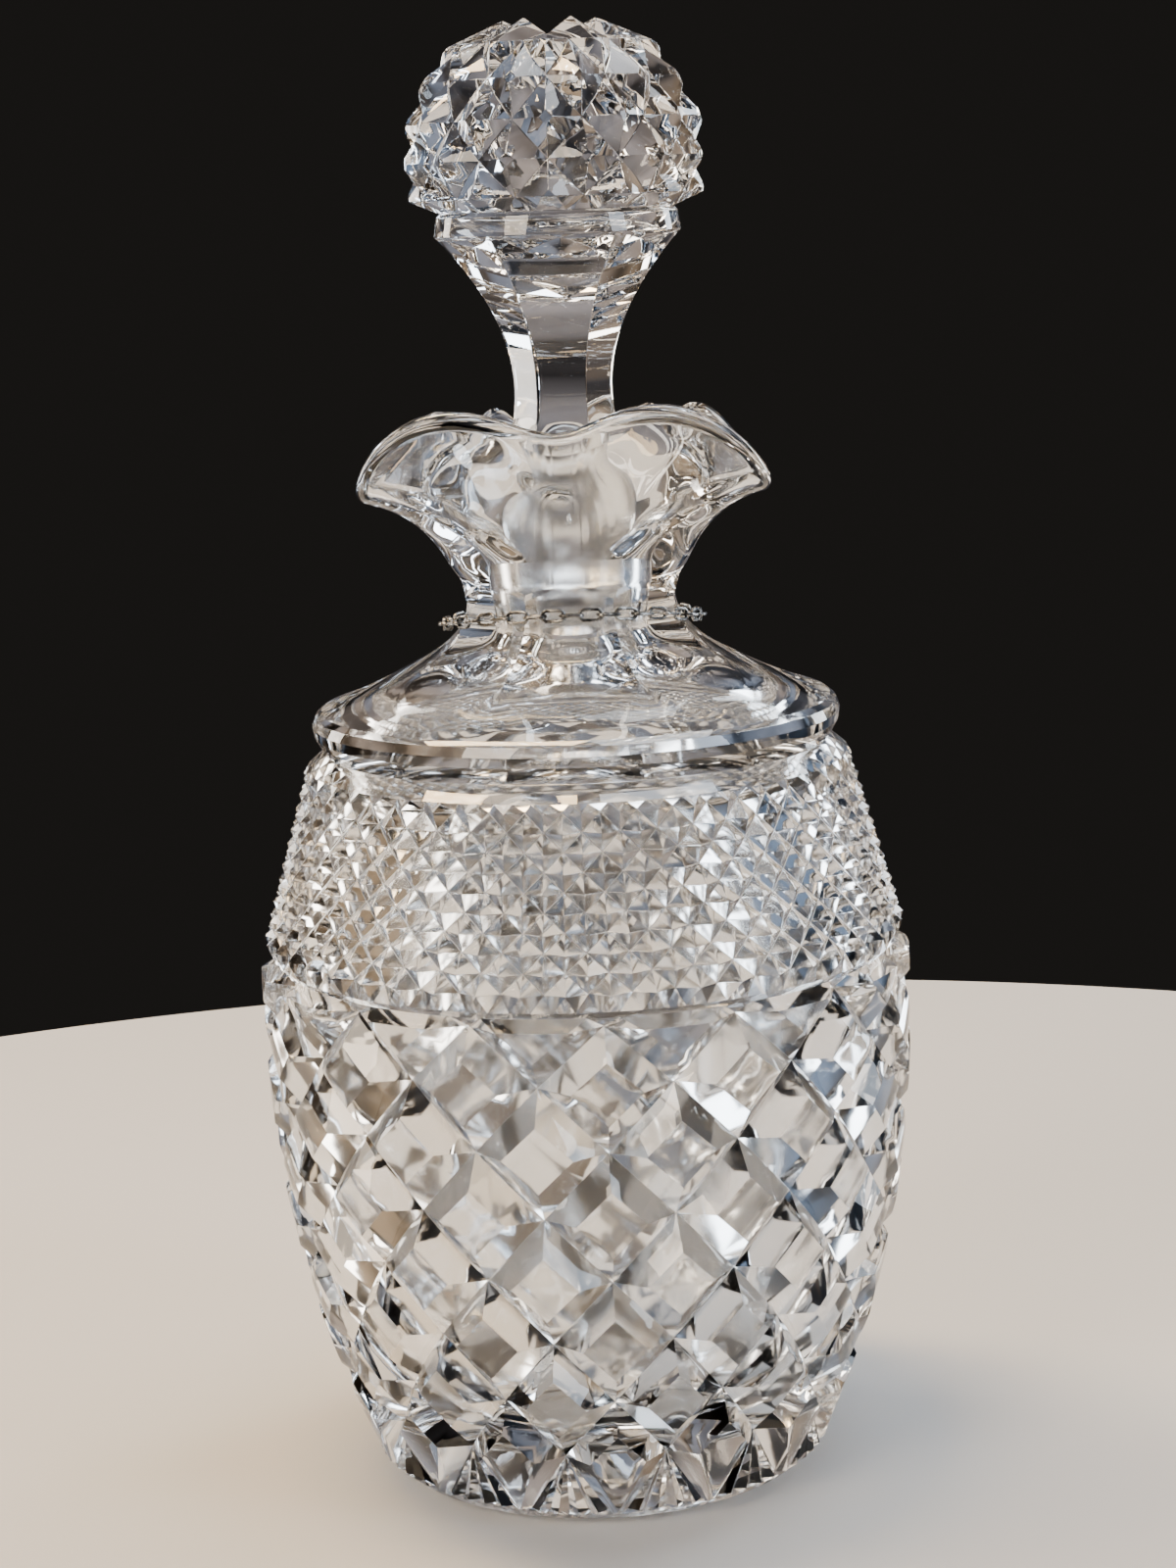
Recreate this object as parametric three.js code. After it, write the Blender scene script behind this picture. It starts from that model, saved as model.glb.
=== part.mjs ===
// A cut-crystal wine decanter: a hollow body with raised diamonds, a solid stopper with a
// diamond-cut head, and a plain silver label on a fine cable chain round the neck.
// Millimetres, +Z up. The origin is the middle of the foot's resting face.
// An azimuth is measured round +Z from the front, which is -Y, towards +X.

import * as THREE from 'three';

const DEGREE = Math.PI / 180;
const FULL_TURN = 2 * Math.PI;

// ---------------------------------------------------------------- driving dimensions

// Belly
const FOOT_RADIUS = 41.2;
const BELLY_RADIUS = 60.2;
const BELLY_HEIGHT = 90;
const BELLY_FULLNESS = 2.24;
const DIAMOND_COUNT = 15;
const DIAMOND_PHASE = 14.9 * DEGREE;
const DIAMOND_DEPTH = 4.2;
const DIAMOND_TABLE = 0.5;
const DIAMOND_HEIGHTS = [14.5, 26, 38, 50, 62, 74, 85.8, 96.4];
const STEP_RADIUS = 56.6;
const STEP_HEIGHT = 98;
const STEP_BEVEL = 1.3;

// Foot
const STAR_POINTS = 16;
const STAR_RADIUS = 30;
const STAR_DEPTH = 1.6;
const STAR_WAIST = 0.5;
const STAR_WAIST_DEPTH = 1.2;
const STAR_NOTCH = 0.86;
const STAR_RIDGE = 0.35;
const REST_RADIUS = 36;
// The rounded edge, as [share of the way from REST_RADIUS to FOOT_RADIUS, height].
const FOOT_EDGE = [[0, 0], [0.55, 0.8], [0.92, 2]];
const RAY_RISE = 3.6;
const RAY_DEPTH = 1.4;
const RAYS_PER_FAN = 10;

// Fine band
const BAND_COUNT = 48;
const BAND_PHASE = 0.4 * DEGREE;
const BAND_DEPTH = 2.0;
const BAND_ROWS = 10;
const BAND_BOTTOM = 102.4;
const BAND_TOP = 131.9;
const BAND_RADIUS = 59.1;
const BAND_TAPER = 0.29;

// Notch, shoulder and neck
const COLUMNS = 64;
const STRIP_TOP_RADIUS = 49.6;
const STRIP_RISE = 1.6;
const NOTCH_RADIUS = 46.3;
const NOTCH_HEIGHT = 136.3;
const SHOULDER_RIM_RADIUS = 48.3;
const SHOULDER_RIM_HEIGHT = 141.2;
// The rim's rounding, as [distance in from its radius, distance up from its height].
const SHOULDER_RIM_EDGE = [[0.3, -1.8], [0, 0], [0.6, 1.7]];
const SHOULDER_START = [1.7, 2.6];
const FLUTE_COUNT = 8;
const FLUTE_PHASE = -1.2 * DEGREE;
const RIDGE_RISE = 1.3;
const NECK_RADIUS = 18.9;
const NECK_HEIGHT = 162.5;

// Lip
const LOBE_COUNT = 3;
const LOBE_AZIMUTH = 57 * DEGREE;
const PINCH_RADIUS = 23.5;
const LOBE_RADIUS = 38.2;
const PINCH_HEIGHT = 192.2;
const CREST_RISE = 25;
const LOBE_DROOP = 32.4;
const BACK_DROP = 3.5;
const DROOP_SHIFT = 15.5 * DEGREE;
const PINCH_LEAN = 82 * DEGREE;
const LOBE_LEAN = 4 * DEGREE;
const PINCH_MOUTH_LEAN = 80 * DEGREE;
const LOBE_MOUTH_LEAN = 36 * DEGREE;
const RIM_HALF_THICKNESS = 1.9;
const LIP_FLARE = [23.4, 171.2];
const OUTER_PULL = [9, 12];
const INNER_PULL = [7, 12];
const MOUTH_PULL = [9, 10];

// Bore and cavity
const BORE_COLUMNS = 40;
const GROUND_GAP = 0.3;
const BORE_TOP = 172;
const BORE_BOTTOM = 155.5;
const CAVITY_FLOOR = 14;

// Stopper
const PLUG_BOTTOM = 153.7;
const PLUG_RADIUS = 8.7;
const PLUG_TAPER = 0.05;
const PLUG_TAPER_START = 157;
const PLUG_END = [[2.4, 0.2], [0.6, 1.2]];
const PANEL_COUNT = 6;
const PANEL_PHASE = -2.5 * DEGREE;
const STOPPER_COLUMNS = 24;
const PLUG_TAPER_END = 187.5;
const STEM_RADIUS = 9.4;
const STEM_FOOT = 194.5;
const STEM_BEAD = 0.6;
const STEM_BEAD_SHARE = 0.45;
const STEM_ROWS = [0, 0.2, 0.4, 0.55, 0.68, 0.8, 0.9, 1];
const COLLAR_BOTTOM = 228;
const COLLAR_TOP = 232.1;
const COLLAR_RADIUS = 22.1;
const COLLAR_BEVEL = 0.6;
// The collar's edge, as [distance in from its radius, height].
const COLLAR_EDGE = [[0, COLLAR_BOTTOM], [0.5, COLLAR_TOP - 0.7], [1.2, COLLAR_TOP]];
const HEAD_RADIUS = 27;
const HEAD_CENTRE = 241;
const HEAD_COUNT = 12;
const HEAD_DEPTH = 3;
const HEAD_TABLE = 0.18;
const HEAD_HEIGHTS = [234.4, 240.8, 247.6, 254.8, 261];
const TIP_HEIGHT = 265.3;
const TIP_RADIUS = 8.2;
const CROWN_GROOVE_DROP = 3.1;
const CROWN_CENTRE_DROP = 3.9;

// Chain, rings and label
const LINK_COUNT = 39;
const LINK_LENGTH = 4.9;
const LINK_WIDTH = 2.8;
const LINK_WIRE = 0.62;
const LINK_STEPS = 12;
const LINK_SIDES = 4;
const LINK_TO_RING = 1.1;
const RING_RADIUS = 2.3;
const RING_WIRE = 0.6;
const RING_STEPS = 16;
const RING_SIDES = 6;
const HINGE_SPREAD = 14;
const HINGE_Y = 26.3;
const HINGE_Z = 156.6;
const LABEL_HALF_WIDTH = 18;
const LABEL_THICKNESS = 0.9;
const LABEL_SLOPE = 27 * DEGREE;
const LABEL_BEND_RADIUS = 80;

// ---------------------------------------------------------------- materials

const crystal = new THREE.MeshStandardMaterial({ color: 0xf4f8fb, roughness: 0.03, metalness: 0 });
const silver = new THREE.MeshStandardMaterial({ color: 0xc9c7c1, roughness: 0.28, metalness: 1 });
const labelSilver = new THREE.MeshStandardMaterial({ color: 0xd2d0ca, roughness: 0.22, metalness: 1 });

// ---------------------------------------------------------------- shell building

// A closed skin made of loops round the axis. A loop is a list of { index, azimuth }.
class Shell {
  constructor() {
    this.positions = [];
    this.indices = [];
  }

  point(azimuth, radius, height) {
    this.positions.push(radius * Math.sin(azimuth), -radius * Math.cos(azimuth), height);
    return { index: this.positions.length / 3 - 1, azimuth };
  }

  // place(azimuth, column) gives [radius, height].
  loop(count, phase, place) {
    return Array.from({ length: count }, (_, column) => {
      const azimuth = phase + (column / count) * FULL_TURN;
      const [radius, height] = place(azimuth, column);
      return this.point(azimuth, radius, height);
    });
  }

  ring(count, radius, height, phase = 0) {
    return this.loop(count, phase, () => [radius, height]);
  }

  face(...corners) {
    for (let k = 1; k < corners.length - 1; k += 1) {
      this.indices.push(corners[0].index, corners[k].index, corners[k + 1].index);
    }
  }

  // Joins two loops, always across the shorter diagonal. A loop of one point closes a cap.
  strip(from, to) {
    const start = nearestPoint(to, from[0].azimuth);
    const lift = Math.round((from[0].azimuth - to[start].azimuth) / FULL_TURN) * FULL_TURN;
    let i = 0;
    let j = 0;
    while (i < stepsRound(from) || j < stepsRound(to)) {
      const here = pointAt(from, i, 0);
      const there = pointAt(to, start + j, lift);
      const nextHere = pointAt(from, i + 1, 0);
      const nextThere = pointAt(to, start + j + 1, lift);
      const acrossHere = Math.abs(nextHere.azimuth - there.azimuth);
      const acrossThere = Math.abs(nextThere.azimuth - here.azimuth);
      const mustStepTo = i >= stepsRound(from);
      const mustStepFrom = j >= stepsRound(to);
      if (mustStepFrom || (!mustStepTo && acrossHere < acrossThere)) {
        this.face(here, nextHere, there);
        i += 1;
      } else {
        this.face(here, nextThere, there);
        j += 1;
      }
    }
  }

  strips(loops) {
    for (let k = 0; k < loops.length - 1; k += 1) {
      this.strip(loops[k], loops[k + 1]);
    }
  }

  geometry() {
    const geometry = new THREE.BufferGeometry();
    geometry.setAttribute('position', new THREE.Float32BufferAttribute(this.positions, 3));
    geometry.setIndex(this.indices);
    return geometry;
  }
}

function stepsRound(loop) {
  return loop.length > 1 ? loop.length : 0;
}

function pointAt(loop, step, lift) {
  const turns = Math.floor(step / loop.length);
  const point = loop[step % loop.length];
  const wrap = point.azimuth + (loop.length > 1 ? turns * FULL_TURN : 0) + lift;
  return { index: point.index, azimuth: wrap };
}

function nearestPoint(loop, azimuth) {
  const away = loop.map((point) => Math.abs(Math.sin((point.azimuth - azimuth) / 2)));
  return away.indexOf(Math.min(...away));
}

// A band of diamonds between two families of crossing grooves. heights are those of the groove
// crossings, from the bottom up, and every second row is turned by half a pitch. table is the
// flat top's share of a diamond's width, and 0 makes pointed pyramids. Gives the two edge loops.
function cutDiamonds(shell, { count, phase, heights, surfaceRadius, depth, table }) {
  const pitch = FULL_TURN / count;
  const rowPhase = (row) => phase + ((row % 2) / 2) * pitch;
  const crossings = heights.map((height, row) => (
    shell.ring(count, surfaceRadius(height) - depth, height, rowPhase(row))
  ));
  const edges = [[], []];
  heights.forEach((height, row) => {
    const lower = row > 0 ? height - heights[row - 1] : 0;
    const upper = row < heights.length - 1 ? heights[row + 1] - height : 0;
    for (let j = 0; j < count; j += 1) {
      const middle = rowPhase(row) + (j + 0.5) * pitch;
      const left = crossings[row][j];
      const right = crossings[row][(j + 1) % count];
      const corner = (aside, rise) => {
        const z = height + table * rise;
        return shell.point(middle + aside * table * pitch / 2, surfaceRadius(z), z);
      };
      const peak = table === 0 ? corner(0, 0) : null;
      const tableLeft = peak ?? corner(-1, 0);
      const tableRight = peak ?? corner(1, 0);
      const beside = (j + (row % 2)) % count;
      const slopes = [];
      const flat = [tableLeft];
      if (lower > 0) {
        const bottom = crossings[row - 1][beside];
        const tableBottom = peak ?? corner(0, -lower);
        slopes.push([left, bottom, tableBottom, tableLeft], [bottom, right, tableRight, tableBottom]);
        flat.push(tableBottom);
      }
      flat.push(tableRight);
      if (upper > 0) {
        const top = crossings[row + 1][beside];
        const tableTop = peak ?? corner(0, upper);
        slopes.push([right, top, tableTop, tableRight], [top, left, tableLeft, tableTop]);
        flat.push(tableTop);
      }
      if (peak) {
        slopes.forEach(([a, b]) => shell.face(a, b, peak));
      } else {
        slopes.forEach((slope) => shell.face(...slope));
        shell.face(...flat);
      }
      if (lower === 0 || upper === 0) {
        const edge = edges[lower === 0 ? 0 : 1];
        edge.push(left, ...(peak ? [peak] : [tableLeft, tableRight]));
      }
    }
  });
  return { bottom: edges[0], top: edges[1] };
}

// ---------------------------------------------------------------- outlines, as [radius, height]

function bellyRadius(height) {
  const below = Math.abs(BELLY_HEIGHT - height) / BELLY_HEIGHT;
  return BELLY_RADIUS - (BELLY_RADIUS - FOOT_RADIUS) * below ** BELLY_FULLNESS;
}

function bandRadius(height) {
  return BAND_RADIUS - BAND_TAPER * (height - BAND_BOTTOM);
}

function headRadius(height) {
  return Math.sqrt(HEAD_RADIUS ** 2 - (height - HEAD_CENTRE) ** 2);
}

function plugRadius(height) {
  return PLUG_RADIUS + PLUG_TAPER * (height - PLUG_TAPER_START);
}

function mix(a, b, share) {
  return a + (b - a) * share;
}

function bezier(...corners) {
  const [a, b, c, d] = corners.map(([x, y]) => new THREE.Vector2(x, y));
  return d ? new THREE.CubicBezierCurve(a, b, c, d) : new THREE.QuadraticBezierCurve(a, b, c);
}

const SHOULDER_SWEEP = bezier(
  [SHOULDER_RIM_RADIUS - SHOULDER_START[0], SHOULDER_RIM_HEIGHT + SHOULDER_START[1]],
  [36, 147.2],
  [20.5, 151],
  [NECK_RADIUS, NECK_HEIGHT],
);
const NECK_TOP = [20.6, 167.6];
const NECK_SWEEP = bezier([NECK_RADIUS, NECK_HEIGHT], [NECK_RADIUS, 165.2], NECK_TOP);
const STEM_SWEEP = bezier(
  [STEM_RADIUS, STEM_FOOT],
  [8, 202],
  [8.3, 213],
  [COLLAR_RADIUS - COLLAR_BEVEL, COLLAR_BOTTOM - COLLAR_BEVEL],
);
const CAVITY_SWEEP = new THREE.SplineCurve([
  [9.0, 154.2], [12.5, 149.3], [22, 145.8], [33, 140.6], [42.5, 131], [47.6, 117],
  [51.6, 103], [53, 89], [51.6, 64], [48.2, 43], [42, 24.5], [34, 16], [20, 14.2],
].map(([radius, height]) => new THREE.Vector2(radius, height)));

// The flutes run down the neck and fan out over the shoulder. along is 0 at the shoulder's rim,
// 1 at the narrowest neck and 1.3 at the top of the neck. The flutes' ends are arcs: a flute's
// middle reaches from FLUTE_LOW to FLUTE_HIGH and its sides stop short of both.
const NECK_END = 1.3;
const FLUTE_LOW = 0.12;
const FLUTE_LOW_ARC = 0.33;
const FLUTE_HIGH = 1.22;
const FLUTE_HIGH_ARC = 0.1;

function fluteShare(azimuth) {
  const half = FULL_TURN / FLUTE_COUNT / 2;
  const aside = Math.abs(azimuth - FLUTE_PHASE) % (2 * half);
  return (Math.min(aside, 2 * half - aside) / half) ** 2;
}

function shoulderPoint(along, azimuth) {
  const onNeck = along > 1;
  const sweep = onNeck ? NECK_SWEEP : SHOULDER_SWEEP;
  const t = onNeck ? (along - 1) / (NECK_END - 1) : along;
  const centre = sweep.getPoint(t);
  const tangent = sweep.getTangent(t);
  const lowEnd = (along - FLUTE_LOW) / FLUTE_LOW_ARC;
  const highEnd = (FLUTE_HIGH - along) / FLUTE_HIGH_ARC;
  const uncut = Math.max(0, Math.min(1, lowEnd, highEnd));
  const rise = RIDGE_RISE * Math.min(uncut, fluteShare(azimuth));
  return [centre.x + tangent.y * rise, centre.y - tangent.x * rise];
}

// The lip is a trefoil. lobe is 1 at the middle of a lobe and 0 at a pinch. The side lobes droop
// most a little behind their widest points. The pulls of its curves are [at a pinch, at a lobe].
function lobeShare(azimuth) {
  return 0.5 + 0.5 * Math.cos(LOBE_COUNT * (azimuth - LOBE_AZIMUTH));
}

function lipSection(azimuth) {
  const lobe = lobeShare(azimuth);
  const droop = lobeShare(azimuth - DROOP_SHIFT * Math.sin(azimuth));
  const behind = (1 - Math.cos(azimuth)) / 2;
  const rise = CREST_RISE * droop - LOBE_DROOP * droop ** 2 - BACK_DROP * behind;
  const rimHeight = PINCH_HEIGHT + rise;
  const centre = new THREE.Vector2(mix(PINCH_RADIUS, LOBE_RADIUS, lobe), rimHeight);
  const lean = mix(PINCH_LEAN, LOBE_LEAN, lobe);
  const outward = new THREE.Vector2(Math.cos(lean), Math.sin(lean));
  const inward = new THREE.Vector2(-Math.sin(lean), Math.cos(lean));
  const along = (point, direction, length) => point.clone().addScaledVector(direction, length);
  const outerEdge = along(centre, inward, -RIM_HALF_THICKNESS);
  const innerEdge = along(centre, inward, RIM_HALF_THICKNESS);
  const boreEdge = new THREE.Vector2(plugRadius(BORE_TOP) + GROUND_GAP, BORE_TOP);
  const mouthLean = mix(PINCH_MOUTH_LEAN, LOBE_MOUTH_LEAN, lobe);
  const mouth = new THREE.Vector2(Math.cos(mouthLean), Math.sin(mouthLean));
  return {
    outer: new THREE.CubicBezierCurve(
      new THREE.Vector2(...NECK_TOP),
      new THREE.Vector2(...LIP_FLARE),
      along(outerEdge, outward, -mix(...OUTER_PULL, lobe)),
      outerEdge,
    ),
    rim: (turn) => {
      const sideways = along(centre, inward, -Math.cos(turn) * RIM_HALF_THICKNESS);
      return along(sideways, outward, Math.sin(turn) * RIM_HALF_THICKNESS);
    },
    inner: new THREE.CubicBezierCurve(
      innerEdge,
      along(innerEdge, outward, -mix(...INNER_PULL, lobe)),
      along(boreEdge, mouth, mix(...MOUTH_PULL, lobe)),
      boreEdge,
    ),
  };
}

// ---------------------------------------------------------------- decanter body

function starFoot(shell) {
  const count = 2 * STAR_POINTS;
  const inGroove = (column) => column % 2 === 0;
  const waist = (_, column) => (
    [STAR_RADIUS * STAR_WAIST, STAR_WAIST_DEPTH * (inGroove(column) ? 1 : STAR_RIDGE)]
  );
  const tips = (_, column) => [STAR_RADIUS * (inGroove(column) ? 1 : STAR_NOTCH), 0];
  const edges = FOOT_EDGE.map(([share, height]) => (
    shell.ring(4 * DIAMOND_COUNT, mix(REST_RADIUS, FOOT_RADIUS, share), height)
  ));
  return [
    [shell.point(0, 0, STAR_DEPTH)],
    shell.loop(count, 0, waist),
    shell.loop(count, 0, tips),
    ...edges,
  ];
}

// Where the rays end above the foot. Every second point is cut in.
function rayRing(shell) {
  const radius = bellyRadius(RAY_RISE);
  return shell.loop(RAYS_PER_FAN * DIAMOND_COUNT, DIAMOND_PHASE, (_, column) => (
    [column % 2 === 0 ? radius - RAY_DEPTH : radius, RAY_RISE]
  ));
}

// Rays fan out from each groove crossing of the lowest row and meet halfway to the next crossing,
// under the middle of the half diamond between them.
function rayFans(shell, rays, edge) {
  const pointsPerCell = edge.length / DIAMOND_COUNT;
  const half = RAYS_PER_FAN / 2;
  for (let cell = 0; cell < DIAMOND_COUNT; cell += 1) {
    const ray = (step) => rays[(cell * RAYS_PER_FAN + step) % rays.length];
    const above = (step) => edge[(cell * pointsPerCell + step) % edge.length];
    for (let step = 0; step < half - 1; step += 1) {
      shell.face(ray(step), ray(step + 1), above(0));
      shell.face(ray(half + 1 + step), ray(half + 2 + step), above(pointsPerCell));
    }
    shell.face(ray(half - 1), above(1), above(0));
    shell.face(ray(half - 1), ray(half), above(1));
    for (let step = 1; step < pointsPerCell - 1; step += 1) {
      shell.face(ray(half), above(step + 1), above(step));
    }
    shell.face(ray(half), ray(half + 1), above(pointsPerCell - 1));
    shell.face(ray(half + 1), above(pointsPerCell), above(pointsPerCell - 1));
  }
}

function shoulderLoops(shell) {
  const phase = FLUTE_PHASE - FULL_TURN / FLUTE_COUNT / 2;
  const lowEnd = (azimuth) => FLUTE_LOW + FLUTE_LOW_ARC * fluteShare(azimuth);
  const highEnd = (azimuth) => FLUTE_HIGH - FLUTE_HIGH_ARC * fluteShare(azimuth);
  const row = (along) => shell.loop(COLUMNS, phase, (azimuth) => (
    shoulderPoint(along(azimuth), azimuth)
  ));
  const within = [0, 0.12, 0.26, 0.42, 0.58, 0.74, 0.88, 1];
  return [
    row(() => 0),
    row((azimuth) => lowEnd(azimuth) * 0.5),
    ...within.map((share) => row((azimuth) => mix(lowEnd(azimuth), highEnd(azimuth), share))),
    row(() => NECK_END),
  ];
}

function lipLoops(shell) {
  const phase = FLUTE_PHASE - FULL_TURN / FLUTE_COUNT / 2;
  const row = (place) => shell.loop(COLUMNS, phase, (azimuth) => {
    const point = place(lipSection(azimuth));
    return [point.x, point.y];
  });
  const outer = [0.2, 0.4, 0.6, 0.8].map((t) => row((section) => section.outer.getPoint(t)));
  const rim = [0, 0.25, 0.5, 0.75, 1].map((t) => row((section) => section.rim(t * Math.PI)));
  const inner = [0.25, 0.5, 0.75].map((t) => row((section) => section.inner.getPoint(t)));
  return [...outer, ...rim, ...inner];
}

function cavityLoops(shell) {
  const ring = (radius, height) => shell.ring(BORE_COLUMNS, radius, height);
  const bore = [BORE_TOP, BORE_BOTTOM].map((z) => ring(plugRadius(z) + GROUND_GAP, z));
  const hollow = CAVITY_SWEEP.getPoints(16).map((point) => ring(point.x, point.y));
  return [...bore, ...hollow, [shell.point(0, 0, CAVITY_FLOOR)]];
}

function decanterBody() {
  const shell = new Shell();
  const diamonds = cutDiamonds(shell, {
    count: DIAMOND_COUNT,
    phase: DIAMOND_PHASE,
    heights: DIAMOND_HEIGHTS,
    surfaceRadius: bellyRadius,
    depth: DIAMOND_DEPTH,
    table: DIAMOND_TABLE,
  });
  const band = cutDiamonds(shell, {
    count: BAND_COUNT,
    phase: BAND_PHASE,
    heights: Array.from({ length: BAND_ROWS }, (_, row) => (
      mix(BAND_BOTTOM, BAND_TOP, row / (BAND_ROWS - 1))
    )),
    surfaceRadius: bandRadius,
    depth: BAND_DEPTH,
    table: 0,
  });
  const rays = rayRing(shell);
  shell.strips([...starFoot(shell), rays]);
  rayFans(shell, rays, diamonds.bottom);
  shell.strips([
    diamonds.top,
    shell.ring(COLUMNS, STEP_RADIUS, STEP_HEIGHT),
    shell.ring(COLUMNS, STEP_RADIUS + STEP_BEVEL, STEP_HEIGHT + STEP_BEVEL),
    band.bottom,
  ]);
  const shoulderRim = SHOULDER_RIM_EDGE.map(([inset, rise]) => (
    shell.ring(COLUMNS, SHOULDER_RIM_RADIUS - inset, SHOULDER_RIM_HEIGHT + rise)
  ));
  shell.strips([
    band.top,
    shell.ring(COLUMNS, STRIP_TOP_RADIUS, BAND_TOP + STRIP_RISE),
    shell.ring(COLUMNS, NOTCH_RADIUS, NOTCH_HEIGHT),
    ...shoulderRim,
    ...shoulderLoops(shell),
    ...lipLoops(shell),
    ...cavityLoops(shell),
  ]);
  return shell.geometry();
}

// ---------------------------------------------------------------- stopper

// The stem has six flat panels. flatness is 0 for a round section and 1 for flat panels.
function panelLoop(shell, cornerRadius, height, flatness) {
  const half = FULL_TURN / PANEL_COUNT / 2;
  return shell.loop(STOPPER_COLUMNS, PANEL_PHASE - half, (azimuth) => {
    const aside = (azimuth - PANEL_PHASE + half) % (2 * half) - half;
    const flat = Math.cos(half) / Math.cos(aside);
    return [cornerRadius * mix(1, flat, flatness), height];
  });
}

function stopper() {
  const shell = new Shell();
  const ring = (radius, height) => panelLoop(shell, radius, height, 0);
  const head = cutDiamonds(shell, {
    count: HEAD_COUNT,
    phase: PANEL_PHASE + FULL_TURN / HEAD_COUNT / 2,
    heights: HEAD_HEIGHTS,
    surfaceRadius: headRadius,
    depth: HEAD_DEPTH,
    table: HEAD_TABLE,
  });
  const stem = STEM_ROWS.map((t) => {
    const point = STEM_SWEEP.getPoint(t);
    return panelLoop(shell, point.x, point.y, 1);
  });
  shell.strips([
    [shell.point(0, 0, PLUG_BOTTOM)],
    ...PLUG_END.map(([inset, rise]) => ring(PLUG_RADIUS - inset, PLUG_BOTTOM + rise)),
    ring(plugRadius(PLUG_TAPER_START), PLUG_TAPER_START),
    ring(plugRadius(PLUG_TAPER_END), PLUG_TAPER_END),
    panelLoop(
      shell, STEM_RADIUS + STEM_BEAD, mix(PLUG_TAPER_END, STEM_FOOT, STEM_BEAD_SHARE), 0.5,
    ),
    ...stem,
    ...COLLAR_EDGE.map(([inset, height]) => ring(COLLAR_RADIUS - inset, height)),
    head.bottom,
  ]);
  const tipCount = HEAD_COUNT / 2;
  const star = shell.loop(2 * tipCount, PANEL_PHASE, (_, column) => (
    column % 2 === 0 ? [TIP_RADIUS + 1, TIP_HEIGHT - CROWN_GROOVE_DROP] : [TIP_RADIUS, TIP_HEIGHT]
  ));
  shell.strips([head.top, star, [shell.point(0, 0, TIP_HEIGHT - CROWN_CENTRE_DROP)]]);
  return shell.geometry();
}

// ---------------------------------------------------------------- chain, rings and label

// A closed wire loop of flat-sided section: path(share) gives its centre line in the XY plane.
function wireLoop(path, steps, sides, wire) {
  const positions = [];
  const indices = [];
  for (let i = 0; i < steps; i += 1) {
    const { centre, outward } = path(i / steps);
    for (let k = 0; k < sides; k += 1) {
      const turn = ((k + 0.5) / sides) * FULL_TURN;
      const reach = Math.cos(turn) * wire / 2;
      const place = centre.clone().addScaledVector(outward, reach);
      positions.push(place.x, place.y, Math.sin(turn) * wire / 2);
      const nextStep = ((i + 1) % steps) * sides;
      const nextSide = (k + 1) % sides;
      const [a, b] = [i * sides + k, i * sides + nextSide];
      const [c, d] = [nextStep + k, nextStep + nextSide];
      indices.push(a, c, d, a, d, b);
    }
  }
  const geometry = new THREE.BufferGeometry();
  geometry.setAttribute('position', new THREE.Float32BufferAttribute(positions, 3));
  geometry.setIndex(indices);
  return geometry;
}

// A link is a rounded oval: two half circles joined by straight sides, along X.
function linkGeometry() {
  const bend = (LINK_WIDTH - LINK_WIRE) / 2;
  const straight = LINK_LENGTH / 2 - LINK_WIRE / 2 - bend;
  return wireLoop((share) => {
    const turn = (share + 0.5 / LINK_STEPS) * FULL_TURN;
    const outward = new THREE.Vector2(Math.cos(turn), Math.sin(turn));
    const centre = outward.clone().multiplyScalar(bend);
    centre.x += Math.sign(outward.x) * straight;
    return { centre, outward };
  }, LINK_STEPS, LINK_SIDES, LINK_WIRE);
}

function ringGeometry() {
  return wireLoop((share) => {
    const outward = new THREE.Vector2(Math.cos(share * FULL_TURN), Math.sin(share * FULL_TURN));
    return { centre: outward.clone().multiplyScalar(RING_RADIUS), outward };
  }, RING_STEPS, RING_SIDES, RING_WIRE);
}

// The chain hangs round the neck, high at the front, and drops to the rings at the back.
// Each stop is [azimuth in degrees, radius, height], for one side.
const CHAIN_STOPS = [
  [0, 22.1, 162.0], [40, 22.2, 161.2], [75, 22.95, 159.3], [108, 24.3, 157.8], [132, 26.2, 157.8],
];

function chainPath() {
  const side = CHAIN_STOPS.map(([azimuth, radius, height]) => new THREE.Vector3(
    radius * Math.sin(azimuth * DEGREE),
    -radius * Math.cos(azimuth * DEGREE),
    height,
  ));
  side.push(new THREE.Vector3(HINGE_SPREAD, HINGE_Y, HINGE_Z + RING_RADIUS));
  const mirrored = side.slice(1).reverse().map((stop) => new THREE.Vector3(-stop.x, stop.y, stop.z));
  return new THREE.CatmullRomCurve3([...mirrored, ...side], false, 'centripetal');
}

function chainLinks() {
  const path = chainPath();
  const length = path.getLength();
  const pitch = (length - 2 * LINK_TO_RING) / (LINK_COUNT - 1);
  const up = new THREE.Vector3(0, 0, 1);
  return Array.from({ length: LINK_COUNT }, (_, number) => {
    const share = (LINK_TO_RING + number * pitch) / length;
    const along = path.getTangentAt(share);
    const across = new THREE.Vector3().crossVectors(up, along).normalize();
    const upright = new THREE.Vector3().crossVectors(along, across);
    const onEdge = number % 2 === 0;
    const frame = onEdge
      ? new THREE.Matrix4().makeBasis(along, upright, across.clone().negate())
      : new THREE.Matrix4().makeBasis(along, across, upright);
    const link = new THREE.Mesh(linkGeometry(), silver);
    link.name = `chain_link_${String(number + 1).padStart(2, '0')}`;
    link.quaternion.setFromRotationMatrix(frame);
    link.position.copy(path.getPointAt(share));
    return link;
  });
}

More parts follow.
